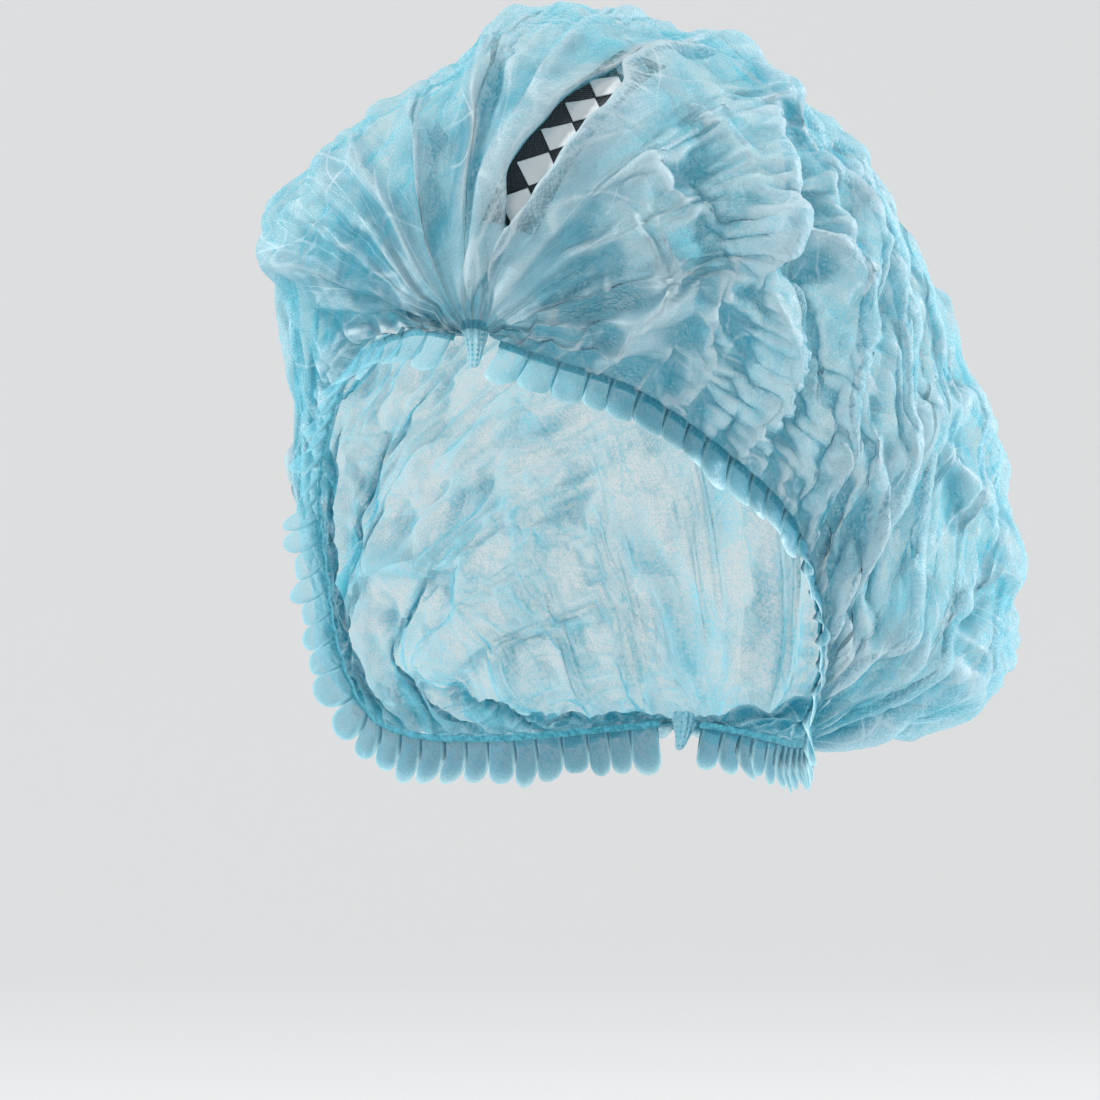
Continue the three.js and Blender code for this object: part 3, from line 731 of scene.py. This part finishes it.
steep = blur(steepness(crown_grid, crown_smooth), 1)
relief = blur(stand_out(crown_grid, 140, 40, 3.0), 1)
fine = stand_out(crown_grid, 22, 12, 1.1)
crease = crease_of(crown_grid)
dense = 0.20 * (blur(spread, 4) - 1) + 0.75 * np.exp(-edge / 18) + 0.8 * near_weld
laps = doubled(crown_smooth) * (1 + 0.5 * noise(crown_smooth, 9, 8))
dense = np.clip(dense - 0.22 * puff + 0.65 * flanks + 0.5 * laps, 0, 1)
crown = grid_object("crown_cloth", crown_grid, flat, {"facets": facet_place}, crease=crease,
                    dense=blur(dense, 3), steep=steep, relief=relief, fine=fine,
                    cloud=cloud, kept=kept)
for word, values in {"steepness": steep, "density": dense, "crease": crease}.items():
    print("mean", word, round(float(values.mean()), 2))
print("crown:", len(crown.data.polygons), "faces")

# %% [markdown]
# ## Frill, elastic and the two welds
# Past the elastic the hem is free, so its gathers stand up as a row of cupped scallops, each a
# little different. The elastic itself is a flat band that the cloth is drawn up on. At both ends
# every pleat is pressed into a tongue and fused with a hot pattern tool, which leaves rows of
# small dimples. The direction "out" points away from the head and "down" points off the rim.

# %% Directions along the rim
rim_steps = np.linspace(0, 1, 801)


def rim_frames(side, clear, spread):
    """Points, directions and lengths at the given shares of one rim, clear of its ends."""
    reach = reaches(rim_points(rim_steps, side))
    at = clear + spread * (reach[-1] - 2 * clear)
    share = np.interp(at, reach, rim_steps)
    point = rim_points(share, side)
    ahead, behind = np.minimum(share + 0.002, 1), np.maximum(share - 0.002, 0)
    tangent = unit(rim_points(ahead, side) - rim_points(behind, side))
    out = np.stack([point[:, 0] / head_half_width**2, point[:, 1] / (1.2 * opening_reach) ** 2,
                    (point[:, 2] - 0.2 * opening_rise) / (2.1 * opening_rise) ** 2], -1)
    out = unit(out - (out * tangent).sum(1, keepdims=True) * tangent)
    down = np.cross(tangent, out) * side
    return point, tangent, out, down, at


# %% Frills
elastic_width, elastic_thickness = 2.2, 1.0
frill_depth, frill_pitch, frill_rise, frill_flare = 12.0, 8.2, 3.3, 0.33
frill_clear = 4.6
steps_in_scallop, steps_deep = 26, 14


def make_frill(side, word, seed):
    """A row of cupped scallops, each with its own width, length and bulge."""
    length = reaches(rim_points(rim_steps, side))[-1] - 2 * frill_clear
    waves = round(length / frill_pitch)
    chance = np.random.default_rng(seed)
    share = np.cumsum(chance.uniform(0.78, 1.22, waves))
    knots = np.concatenate([[0], share / share[-1]])
    part = np.arange(waves * steps_in_scallop + 1) / steps_in_scallop
    u = part - np.floor(part - 1e-9).clip(0)
    spread = np.interp(part, np.arange(waves + 1), knots)
    point, tangent, out, down, at = rim_frames(side, frill_clear, spread)

    def vary(low, high):
        return np.interp(part - 0.5, np.arange(waves), chance.uniform(low, high, waves))

    cup = np.sin(math.pi * u)
    width = np.interp(part, np.arange(waves + 1), np.gradient(knots) * length)
    t = np.linspace(0, 1, steps_deep + 1)[:, None]
    swell = 0.10 + 0.90 * t**0.9
    lobe = 0.58 + 0.42 * cup**0.9
    drop = 0.2 * elastic_width + t * (frill_depth + 0.8 * elastic_width) * lobe * vary(0.9, 1.08)
    rise = frill_rise * swell * (2 * cup**0.9 - 0.95) * vary(0.75, 1.15)
    curl = vary(-0.15, 0.30) * frill_depth * t**3 * cup
    height = frill_flare * frill_depth * t**1.4 + 0.9 + rise - curl
    slide = -(0.17 * width * np.sin(2 * math.pi * u) + vary(-0.8, 0.8) * cup) * swell
    grid = point + drop[..., None] * down + height[..., None] * out + slide[..., None] * tangent
    grid = grid.transpose(1, 0, 2)
    flat = np.stack(np.broadcast_arrays((part * 16)[:, None], t.T * 13), -1)
    # The free edge and the sides of each scallop are whitened, partly for the folded double hem and
    # partly as painted highlight.
    side_rim = np.exp(-(((cup - 0.40) / 0.15) ** 2))[:, None] * (0.25 + 0.75 * t.T)
    lip = np.clip(t.T**6 + 0.85 * side_rim, 0, 1)
    # Where neighbouring scallops meet, the hem is darkened and made denser as painted shade.
    hollow = np.clip(1 - cup / 0.42, 0, 1) ** 0.8
    # the hem's blue fades out at the front weld, and sooner on the wearer's right
    strong = np.clip((at - 6) / 42, 0, 1) if side > 0 else np.clip((at - 120) / 80, 0, 1)
    hollow, strong = (np.broadcast_to(v[:, None], grid.shape[:2]) for v in (hollow, strong))
    made = grid_object("frill_cloth_" + word, grid, flat, lip=lip, hollow=hollow, strong=strong)
    return made, waves


frills = {}
for side, word in ((1, "left"), (-1, "right")):
    frills[word], waves = make_frill(side, word, 20 + side)
    print("frill on the", word, "has", waves, "scallops")

# %% Elastics and welds
def ring_object(name, rings):
    """A closed tube through rings of points, with flat ends."""
    n, m = rings.shape[:2]
    index = np.arange(n * m).reshape(n, m)
    after = np.roll(index, -1, axis=1)
    faces = np.stack([index[:-1], after[:-1], after[1:], index[1:]], -1).reshape(-1, 4).tolist()
    faces += [index[0][::-1].tolist(), index[-1].tolist()]
    return mesh_object(name, (rings.reshape(-1, 3) / 1000).tolist(), faces)


def squared(wave, power):
    """A wave with fuller crests, which turns an oval section toward a box."""
    return np.sign(wave) * abs(wave) ** power


def make_elastic(side, word):
    point, _, out, down, at = rim_frames(side, 4.0, np.linspace(0, 1, 701))
    turn = np.linspace(0, 2 * math.pi, 12, endpoint=False)
    wobble = 0.25 * np.sin(at * 2 * math.pi / frill_pitch)
    section_down = 0.3 + elastic_width * (0.5 + 0.5 * squared(np.cos(turn), 0.5))
    section_out = 0.5 * elastic_thickness * squared(np.sin(turn), 0.6)
    rings = (point[:, None] + down[:, None] * section_down[None, :, None]
             + out[:, None] * (section_out[None, :, None] + wobble[:, None, None] + 0.2))
    return ring_object("elastic_band_" + word, rings if side < 0 else rings[:, ::-1])


weld_width, weld_height, weld_length, weld_pleats = 6.8, 5.2, 10.5, 10
weld_rings = np.array([
    # share of the way down, then shares of the width, thickness and lift
    [-0.40, 0.95, 1.00, 0.55],
    [-0.20, 1.00, 0.98, 0.52],
    [0.00, 0.98, 0.90, 0.50],
    [0.12, 0.90, 0.75, 0.47],
    [0.25, 0.80, 0.60, 0.44],
    [0.38, 0.70, 0.48, 0.40],
    [0.50, 0.62, 0.40, 0.37],
    [0.62, 0.56, 0.34, 0.34],
    [0.72, 0.50, 0.28, 0.32],
    [0.80, 0.44, 0.22, 0.30],
    [0.86, 0.34, 0.16, 0.30],
    [0.90, 0.20, 0.10, 0.30],
])


def make_weld(name, end):
    """A tongue of pressed pleats at one end of the rim: 0 is the front and -1 the nape."""
    point, _, out, _, _ = rim_frames(1, 0.0, np.linspace(0, 1, 5))
    middle = point[end] * [0, 1, 1]
    away = unit(out[end] * [0, 1, 1])
    fall = np.array([0, -away[2], away[1]])
    fall *= -np.sign(fall[2])
    drop, width, thick, lift = weld_rings.T[..., None]
    turn = np.linspace(0, 2 * math.pi, 60, endpoint=False)
    pleat = 1 + 0.20 * np.cos(weld_pleats * turn + 0.6 * np.sin(turn)) * np.clip(1 - drop, 0.15, 1)
    x = 0.5 * weld_width * width * squared(np.cos(turn), 0.8) * pleat + 0.5 * np.sin(3 * drop)
    h = weld_height * (lift + 0.5 * thick * squared(np.sin(turn), 0.8) * pleat)
    rings = middle + x[..., None] * [1, 0, 0] + h[..., None] * away
    rings = rings + (0.6 + drop * weld_length)[..., None] * fall
    turned_in = np.dot(np.cross([1, 0, 0], away), fall) > 0
    return ring_object(name, rings if turned_in else rings[:, ::-1])


elastics = {"left": make_elastic(1, "left"), "right": make_elastic(-1, "right")}
welds = {"front": make_weld("front_weld_tongue", 0), "nape": make_weld("nape_weld_tongue", -1)}
for made in [*elastics.values(), *welds.values()]:
    smooth_by = made.modifiers.new("rounded", "SUBSURF")
    smooth_by.levels = smooth_by.render_levels = 1
print("made", len(elastics), "elastics and", len(welds), "welds")

# %% [markdown]
# ## The detectable strip
# Production lines find lost caps with a metal detector, so the cap carries metal. Here it is a
# dark woven strip with square white-coated tiles set corner to corner, lying in the valley
# between the two tall pleats. The strip follows the finished cloth: the net is averaged over a
# few millimetres so the strip spans the small creases, and is then lifted clear of the rest.

# %% Strip and tiles
tile_side, tile_seam, tile_count = 7.4, 0.6, 6
strip_thickness, strip_margin, strip_lift = 0.5, 1.0, 0.2
tile_gap = 0.15  # mm between the strip and a tile, so that their faces never coincide
tile_levels = ((0.5, 0.0), (0.15, 0.05), (0.0, 0.2), (0.0, 0.35), (0.12, 0.47), (0.45, 0.5))
tile_diagonal = tile_side * math.sqrt(2)
tile_pitch = tile_diagonal + tile_seam
strip_width = tile_diagonal + 2 * strip_margin
strip_length = tile_count * tile_pitch + 2 * strip_margin
line_across = np.linspace(*strip_across, 121)
line_along = np.linspace(*strip_along, 121)
line_reach = reaches(grid_at(calm, line_across, line_along))
line_length = np.interp(line_along, np.linspace(0, 1, rows + 1), crown_lengths)


def strip_at(sideways, onward, height):
    """A point of the strip; the height is over the averaged cloth."""
    a = np.interp(onward, line_reach, line_across)
    a = a + sideways / np.interp(onward, line_reach, line_length)
    v = np.interp(onward, line_reach, line_along)
    return grid_at(calm, a, v) + height * grid_at(calm_normal, a, v)


s, t = np.meshgrid(np.linspace(-0.5, 0.5, 25), np.linspace(0, 1, 121))
top, low = (strip_at(s * strip_width, t * strip_length, height)
            for height in (strip_lift + strip_thickness, strip_lift))
strip = ring_object("strip_band", np.concatenate([top, low[:, ::-1]], axis=1))
tiles = []
for number in range(tile_count):
    middle = strip_margin + (number + 0.5) * tile_pitch
    rings = []
    for inset, height in tile_levels:
        corner = np.array([[-1, 0], [0, -1], [1, 0], [0, 1], [-1, 0]]) * (tile_diagonal / 2 - inset)
        steps = np.linspace(0, 1, 7)[:-1, None]
        sides = [corner[k] * (1 - steps) + corner[k + 1] * steps for k in range(4)]
        sideways, onward = np.concatenate(sides).T
        level = strip_lift + strip_thickness + tile_gap + height
        rings.append(strip_at(sideways, middle + onward, level))
    tiles.append(ring_object(f"tile_plate_{number + 1}", np.array(rings)))
print("strip", round(strip_width, 1), "by", round(strip_length, 1), "mm with", len(tiles), "tiles")

# %% [markdown]
# ## Writing materials as sums
# A material is a small program. Linking every node by hand hides what it works out, so a thin
# class wraps one output socket and lets ordinary arithmetic add the Math nodes. Colours are
# mixed with a Mix node, because a Math node would turn them grey.

# %% A socket that can do sums
class Wire:
    """One output socket of the material that is being written."""
    tree = None

    def __init__(self, socket):
        self.socket = socket

    @classmethod
    def node(cls, kind, settings=None, inputs=None, output=0):
        """Adds a node of any kind: first its settings, then its sockets' values or links."""
        made = cls.tree.nodes.new(kind)
        for name, value in (settings or {}).items():
            setattr(made, name, value)
        for name, value in (inputs or {}).items():
            if isinstance(value, Wire):
                cls.tree.links.new(value.socket, made.inputs[name])
            else:
                made.inputs[name].default_value = value
        return cls(made.outputs[output])

    def beside(self, output):
        """Another output of the same node."""
        return Wire(self.socket.node.outputs[output])

    def sum(self, operation, first, second):
        return Wire.node("ShaderNodeMath", {"operation": operation}, {0: first, 1: second})

    def __add__(self, other):
        return self.sum("ADD", self, other)

    def __radd__(self, other):
        return self.sum("ADD", other, self)

    def __sub__(self, other):
        return self.sum("SUBTRACT", self, other)

    def __rsub__(self, other):
        return self.sum("SUBTRACT", other, self)

    def __mul__(self, other):
        return self.sum("MULTIPLY", self, other)

    def __rmul__(self, other):
        return self.sum("MULTIPLY", other, self)

    def clipped(self, low=0.0, high=1.0):
        return Wire.node("ShaderNodeClamp", {}, {"Value": self, "Min": low, "Max": high})

    def between(self, low, high):
        """A smooth step from 0 at low to 1 at high."""
        inputs = {"Value": self, "From Min": low, "From Max": high}
        return Wire.node("ShaderNodeMapRange", {"interpolation_type": "SMOOTHSTEP"}, inputs)


def mixed(factor, first, second):
    """A colour between two colours."""
    inputs = {0: factor, 6: first, 7: second}
    return Wire.node("ShaderNodeMix", {"data_type": "RGBA"}, inputs, output=2)


def scaled(vector, by):
    inputs = {0: vector, 1: by}
    return Wire.node("ShaderNodeVectorMath", {"operation": "MULTIPLY"}, inputs)


def moved(vector, by):
    return Wire.node("ShaderNodeVectorMath", {"operation": "ADD"}, {0: vector, 1: by})


def turned(vector, degrees):
    inputs = {"Vector": vector, "Angle": math.radians(degrees)}
    return Wire.node("ShaderNodeVectorRotate", {"rotation_type": "Z_AXIS"}, inputs)


def grain(vector, scale, detail=2.0, roughness=0.5, space="3D"):
    inputs = {"Vector": vector, "Scale": scale, "Detail": detail, "Roughness": roughness}
    return Wire.node("ShaderNodeTexNoise", {"noise_dimensions": space}, inputs)


def sheet_place(name):
    """A place in the flat sheet, from one of the mesh's maps."""
    return Wire.node("ShaderNodeUVMap", {"uv_map": name})


def object_place():
    """A place in the object's own space, in metres."""
    return Wire.node("ShaderNodeTexCoord", output=3)


def bumped(height, strength, distance):
    """A normal that leans with the slope of the height."""
    return Wire.node("ShaderNodeBump", {}, {
        "Strength": strength, "Distance": distance, "Height": height})


def solid_shader(colour, roughness, **more):
    """An opaque surface; an underscore in a further socket's name stands for a space."""
    inputs = {"Base Color": colour, "Roughness": roughness}
    inputs.update({name.replace("_", " "): value for name, value in more.items()})
    return Wire.node("ShaderNodeBsdfPrincipled", {}, inputs)


def fact(name):
    """A value that was stored with the mesh's points."""
    return Wire.node("ShaderNodeAttribute", {"attribute_name": name}, output=2)


def begin(name):
    """An empty material, ready to be written."""
    material = bpy.data.materials.new(name)
    material.use_nodes = True
    material.node_tree.nodes.clear()
    Wire.tree = material.node_tree
    return material


def end(shader):
    out = Wire.tree.nodes.new("ShaderNodeOutputMaterial")
    Wire.tree.links.new(shader.socket, out.inputs["Surface"])


print("sums ready:", [word for word in vars(Wire) if word[2:-2] in ("add", "sub", "mul")])

# %% [markdown]
# ## Non-woven cloth
# Spun polypropylene is a mat of long hair-thin fibres that lie at random and are spot-bonded.
# Held up to the light it is a veil: between the fibres one looks straight through. So the cloth
# is a mix of a see-through shader and a cloth shader, and the mix follows the fibres. Long
# curved fibres come from smooth noise: the line where a noise crosses one half winds like a
# fibre does. Several such noises, each stretched along its own direction, make the mat. Folds
# and gathers lie several layers deep, so there the veil closes and its blue deepens. Valleys
# are also painted a deeper blue as shade, and ridges and crease edges a paler white as painted
# highlight.

# %% Fibres
def fibres(place, turn, scale, levels, seed, sharp=3.6, stretch=0.14):
    """Long winding lines along one direction, 1 on a line and 0 between them."""
    stretched = scaled(turned(place, turn), (1.0, stretch, 1.0))
    value = grain(moved(stretched, (seed, seed * 0.7, 0)), scale, detail=0.0, space="2D")
    nearest = Wire.node("ShaderNodeMath", {"operation": "PINGPONG"}, {0: value * levels, 1: 0.5})
    return (1 - nearest * sharp).clipped()


def mat_of_fibres(place):
    """How much fibre lies at a point of the cloth, from 0 to about 1."""
    total = 0.0
    for number, turn in enumerate((12, 71, 134)):
        total = total + fibres(place, turn, 330, 5.0, 3.1 * number + 1)
    speck = grain(place, 1300, detail=0.0, space="2D")
    return (total * 0.42 + (speck - 0.5) * 0.8).clipped()


# %% [markdown]
# ## Facets and crease lines
# Between the folds, non-woven cloth is broken into small flat facets like crumpled paper. A
# Voronoi texture knows which cell a point is in, where the cell's centre is, and a random colour
# for the cell. Taking that colour as a slope gives each cell its own tilt, which is a facet. The
# thin pale lines of old creases come from the same winding lines as the fibres, drawn far apart.

# %% Facets
def facets(place, scale, slope):
    """Heights of small tilted planes, one for each cell, and a random number for each."""
    settings = {"voronoi_dimensions": "2D", "feature": "F1"}
    cell = {"Vector": place, "Scale": scale, "Randomness": 1.0}
    tilt = Wire.node("ShaderNodeTexVoronoi", settings, cell, output=1)
    centre = tilt.beside(2)
    away = Wire.node("ShaderNodeVectorMath", {"operation": "SUBTRACT"}, {0: place, 1: centre})
    lean = {0: away, 1: moved(tilt, (-0.5, -0.5, -0.5))}
    height = Wire.node("ShaderNodeVectorMath", {"operation": "DOT_PRODUCT"}, lean, output=1)
    chance = Wire.node("ShaderNodeSeparateColor", {}, {0: tilt}, output=2)
    return height * slope, chance


def crease_lines(place):
    """Long thin lines in three directions, 1 on a line."""
    total = 0.0
    for number, turn in enumerate((25, 88, 150)):
        total = total + fibres(place, turn, 38, 2.2, 5.3 * number + 2, sharp=30, stretch=0.3)
    return total.clipped()


# %% Cloth of the crown
pale_cyan = (0.50, 0.84, 0.90, 1)
mid_cyan = (0.05, 0.49, 0.62, 1)
deep_cyan = (0.002, 0.19, 0.28, 1)
# The near-white below is the colour of the fibres, and also of the painted highlights on ridges and
# creases.
fibre_and_highlight_white = (0.88, 0.97, 0.99, 1)
glow_cyan = (0.055, 0.60, 0.77, 1)
veil_tint = (0.90, 0.972, 0.985, 1)


def cloth_shader(colour, opacity, roughness, normal, glow_share):
    """A thin sheet that reflects, glows through and lets light pass."""
    face = solid_shader(colour, roughness, Normal=normal, Specular_IOR_Level=0.35,
                        Sheen_Weight=0.05, Sheen_Roughness=0.4)
    glow = Wire.node("ShaderNodeBsdfTranslucent", {}, {"Color": glow_cyan, "Normal": normal})
    clear = Wire.node("ShaderNodeBsdfTransparent", {}, {"Color": veil_tint})
    cloth = Wire.node("ShaderNodeMixShader", {}, {0: glow_share, 1: face, 2: glow})
    return Wire.node("ShaderNodeMixShader", {}, {0: opacity, 1: clear, 2: cloth})


crown_material = begin("non-woven cloth")
crease, dense, steep, relief, fine, cloud, kept = (
    fact(name) for name in ("crease", "dense", "steep", "relief", "fine", "cloud", "kept"))
mat = (mat_of_fibres(sheet_place("flat")) + (cloud - 0.5) * 0.5).clipped()
facet_place = sheet_place("facets")
large, large_chance = facets(facet_place, 62, 0.55)
small, small_chance = facets(moved(turned(facet_place, 38), (5, 2, 0)), 130, 0.40)
lines = crease_lines(facet_place) * kept
# Cloth sunk below its neighbours is painted a deeper blue and given more cover, as painted shade.
valley_shade = (relief * -0.7 - fine * 0.4).clipped()
# Cloth standing above its neighbours is whitened and given more cover, as painted highlight.
ridge_highlight = (relief * 0.3 + fine * 0.4).clipped()
patch = (large_chance - 0.5) * 0.34 + (small_chance - 0.5) * 0.26
# The blue deepens with gathered density, fold walls and facet tone, and also with the painted shade
# in the valleys.
layers_and_valley_shade = (dense * 0.95 + steep * 0.7 + valley_shade * 0.6 + patch).clipped()
colour = mixed(layers_and_valley_shade.between(0.05, 0.42), pale_cyan, mid_cyan)
colour = mixed(layers_and_valley_shade.between(0.35, 0.95), colour, deep_cyan)
# Whitening comes from the fibre mat and the old crease lines. Ridges get it as painted highlight.
# Crease edges get it partly for their doubled cloth and partly as painted highlight. Valleys lose
# some of it as painted shade.
light = mat * (0.42 - layers_and_valley_shade * 0.2) + crease * 0.9 + lines * 0.6 + ridge_highlight * 0.85 - valley_shade * 0.2
colour = mixed(light.clipped() * 0.85, colour, fibre_and_highlight_white)
opacity = 0.02 + mat * 0.42 + crease * 0.42 + lines * 0.3 + ridge_highlight * 0.2 + layers_and_valley_shade * 0.58
end(cloth_shader(colour, opacity.clipped(0.03, 0.96), 0.52 - mat * 0.12,
                 bumped(large + small, 0.85, 1.0), 0.42 - layers_and_valley_shade * 0.10))
crown.data.materials.append(crown_material)
print("crown cloth uses", len(crown_material.node_tree.nodes), "nodes")

# %% Cloth of the frills
frill_material = begin("gathered hem")
place = sheet_place("flat")
mat = mat_of_fibres(place)
lip, hollow, strong = fact("lip"), fact("hollow"), fact("strong")
colour = mixed(strong, (0.36, 0.72, 0.84, 1), (0.008, 0.24, 0.37, 1))
# Between the scallops the colour is darkened as painted shade.
colour = mixed(hollow * (0.5 + strong * 0.5), colour, (0.001, 0.08, 0.15, 1))
# The lip is whitened partly for the folded hem and partly as painted highlight.
colour = mixed((lip * 0.95 + mat * 0.2).clipped(), colour, (0.66, 0.93, 0.98, 1))
opacity = (0.30 + strong * 0.42 + mat * 0.25 + lip * 0.5 + hollow * 0.4).clipped(0.1, 0.97)
bump = bumped(facets(place, 240, 0.3)[0], 0.8, 1.0)
end(cloth_shader(colour, opacity, 0.5 - mat * 0.1, bump, 0.36 - strong * 0.24))
for made in frills.values():
    made.data.materials.append(frill_material)
print("hem cloth uses", len(frill_material.node_tree.nodes), "nodes")

# %% [markdown]
# ## Elastic, weld, strip and tiles
# The elastic shows as a darker teal line through the hem, with fine cross ribs. The weld is
# cloth fused nearly solid: smoother, paler, and dotted by the pattern tool. The strip is a dark
# plain weave, and the tiles are thin metal under white lacquer that is a little worn at the rims.

# %% Elastic and weld finishes
elastic_material = begin("hem elastic")
place = object_place()
speck = grain(place, 900, detail=3.0)
bands = grain(scaled(place, (1.0, 1.0, 0.35)), 420, detail=1.0)
colour = mixed(speck.between(0.35, 0.7), (0.025, 0.27, 0.37, 1), (0.11, 0.50, 0.62, 1))
bump = bumped(bands + speck * 0.5, 0.5, 0.0004)
end(solid_shader(colour, 0.5 + speck * 0.25, Normal=bump, Sheen_Weight=0.2))

weld_material = begin("welded cloth")
place = object_place()
dots = Wire.node("ShaderNodeTexVoronoi", {"feature": "F1", "distance": "EUCLIDEAN"},
                 {"Vector": place, "Scale": 700, "Randomness": 0.1})
pressed = 1 - dots.between(0.18, 0.34)
speck = grain(place, 1200, detail=3.0)
colour = mixed(pressed, (0.42, 0.79, 0.89, 1), (0.14, 0.54, 0.70, 1))
colour = mixed(speck.between(0.45, 0.75) * 0.6, colour, fibre_and_highlight_white)
bump = bumped(speck * 0.5 - pressed, 0.6, 0.0004)
end(cloth_shader(colour, (0.80 + speck * 0.3).clipped(), 0.45 + speck * 0.2, bump, 0.25))

# %% Strip and tile finishes
strip_material = begin("woven strip")
place = object_place()
threads = {"Vector": place, "Scale": 520, "Distortion": 0.6, "Detail": 1.0}
settings = {"wave_type": "BANDS"}
warp = Wire.node("ShaderNodeTexWave", {**settings, "bands_direction": "X"}, threads)
weft = Wire.node("ShaderNodeTexWave", {**settings, "bands_direction": "Z"}, threads)
weave = warp * weft
fuzz = grain(place, 1400, detail=3.0)
colour = mixed(weave, (0.008, 0.012, 0.015, 1), (0.035, 0.06, 0.075, 1))
colour = mixed(fuzz.between(0.55, 0.8) * 0.5, colour, (0.12, 0.18, 0.21, 1))
bump = bumped(weave + fuzz * 0.4, 0.8, 0.0003)
end(solid_shader(colour, 0.7 + fuzz * 0.2, Normal=bump, Sheen_Weight=0.3))

tile_material = begin("white-coated metal")
place = object_place()
fine = grain(place, 900, detail=4.0, roughness=0.6)
soft = grain(place, 120, detail=2.0)
pointed = Wire.node("ShaderNodeNewGeometry", output=7)
worn = pointed.between(0.52, 0.62) * fine.between(0.45, 0.6)
colour = mixed(soft, (0.74, 0.79, 0.81, 1), (0.86, 0.89, 0.90, 1))
colour = mixed(worn, colour, (0.42, 0.44, 0.46, 1))
end(solid_shader(colour, 0.34 + soft * 0.15 - worn * 0.1, Metallic=worn * 0.9,
                 Normal=bumped(fine, 0.25, 0.0002), Coat_Weight=0.25, Coat_Roughness=0.2))
for material, pieces in ((elastic_material, elastics.values()), (weld_material, welds.values()),
                         (strip_material, [strip]), (tile_material, tiles)):
    for made in pieces:
        made.data.materials.append(material)
print("materials:", sorted(m.name for m in bpy.data.materials if m.users))

# %% [markdown]
# ## Handing the pieces over to the frame
# Every piece stands for its solid in the frame, whose own mesh is hidden, and rides on the one
# body.

# %% Pieces and their nodes
def hand_over(made, node):
    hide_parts(node)
    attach(made, "root")


hand_over(crown, "crown")
for word in ("left", "right"):
    hand_over(frills[word], f"frill_{word}")
    hand_over(elastics[word], f"elastic_{word}")
hand_over(welds["front"], "front_weld")
hand_over(welds["nape"], "nape_weld")
hand_over(strip, "detectable_strip")
for number, made in enumerate(tiles, 1):
    hand_over(made, f"metal_tile_{number}")

# %% [markdown]
# ## Floor, light and camera
# The cap is shown the way a head holds it, so it stands clear above a pale floor. The floor turns
# up into a round pale wall, which keeps the view plain from every side. A large soft light stands
# in front on the wearer's right, and a second one behind on the left lights the cloth through.

# %% Floor and wall
floor_z, floor_radius, floor_turn, wall_top, floor_sides = -0.32, 3.6, 1.4, 4.0, 96


def bowl(name):
    """A round floor whose edge turns up smoothly into a wall."""
    bend = [(floor_radius - floor_turn + floor_turn * math.sin(a),
             floor_z + floor_turn - floor_turn * math.cos(a))
            for a in np.linspace(0, math.pi / 2, 13)]
    profile = [(0.001, floor_z), (floor_radius * 0.3, floor_z), *bend, (floor_radius, wall_top)]
    around = np.linspace(0, 2 * math.pi, floor_sides, endpoint=False)
    points = [(r * math.cos(a), r * math.sin(a), z) for r, z in profile for a in around]
    index = np.arange(len(points)).reshape(-1, floor_sides)
    after = np.roll(index, -1, axis=1)
    faces = np.stack([index[:-1], after[:-1], after[1:], index[1:]], -1).reshape(-1, 4)
    return mesh_object(name, points, faces.tolist())


floor = bowl("studio_floor")
floor_material = begin("pale floor")
end(solid_shader((0.59, 0.60, 0.605, 1), 1.0, Specular_IOR_Level=0.0,
                 Emission_Color=(1, 1, 1, 1), Emission_Strength=0.32))
floor.data.materials.append(floor_material)
floor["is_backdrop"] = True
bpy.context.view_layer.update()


# %% Lights
def aimed(made, place, way):
    """Puts a light or the camera in its place, looking the given way."""
    made.location = place
    made.rotation_mode = "QUATERNION"
    made.rotation_quaternion = way.to_track_quat("-Z", "Y")


def area_light(name, place, aim, size, watts, colour):
    data = bpy.data.lights.new(name, "AREA")
    data.shape, data.size, data.energy, data.color = "DISK", size, watts, colour
    aimed(linked(name, data), Vector(place), Vector(aim) - Vector(place))


area_light("key", (-1.25, -0.95, 1.35), (0, 0, 0.05), 0.26, 27, (1, 0.99, 0.97))
area_light("through", (1.3, 0.9, 0.6), (0, 0.05, 0.03), 0.35, 18, (0.96, 0.98, 1))
area_light("top", (0.4, 0.3, 1.6), (0, 0, 0.05), 0.4, 7, (1, 1, 1))
world = bpy.data.worlds.new("studio")
world.use_nodes = True
background = world.node_tree.nodes["Background"]
background.inputs["Color"].default_value = (0.95, 0.97, 1, 1)
background.inputs["Strength"].default_value = 0.25
bpy.context.scene.world = world
bpy.context.scene.view_settings.view_transform = "Standard"

# %% Camera
camera_distance, camera_lens, camera_sensor = 1.4, 154.3, 36
turn = math.radians(22.5)
right = Vector((math.cos(turn), math.sin(turn), 0))
back = Vector((math.sin(turn), -math.cos(turn), 0))
target = -0.01054 * right - Vector((0, 0, 0.0003))
camera_data = bpy.data.cameras.new("camera")
camera_data.sensor_width, camera_data.lens = camera_sensor, camera_lens
camera_data.clip_start, camera_data.clip_end = 0.05, 20
camera = linked("camera", camera_data)
aimed(camera, target + camera_distance * back, -back)
bpy.context.scene.camera = camera
cycles = bpy.context.scene.cycles
cycles.transparent_max_bounces, cycles.max_bounces, cycles.diffuse_bounces = 16, 3, 2
picture_width = round(camera_distance * camera_sensor / camera_lens * 1000)
print("the picture is", picture_width, "mm wide at the cap's middle")

# %% [markdown]
# ## Sizes and the end
# How far the look grows past the solids is printed, axis by axis, in millimetres.

# %% Boxes and finish
box_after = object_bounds()
grew = [[round(float(a[k] - b[k]) * 1000, 1) for k in range(3)]
        for a, b in zip(box_after, box_before)]
print("grew by", grew, "mm")
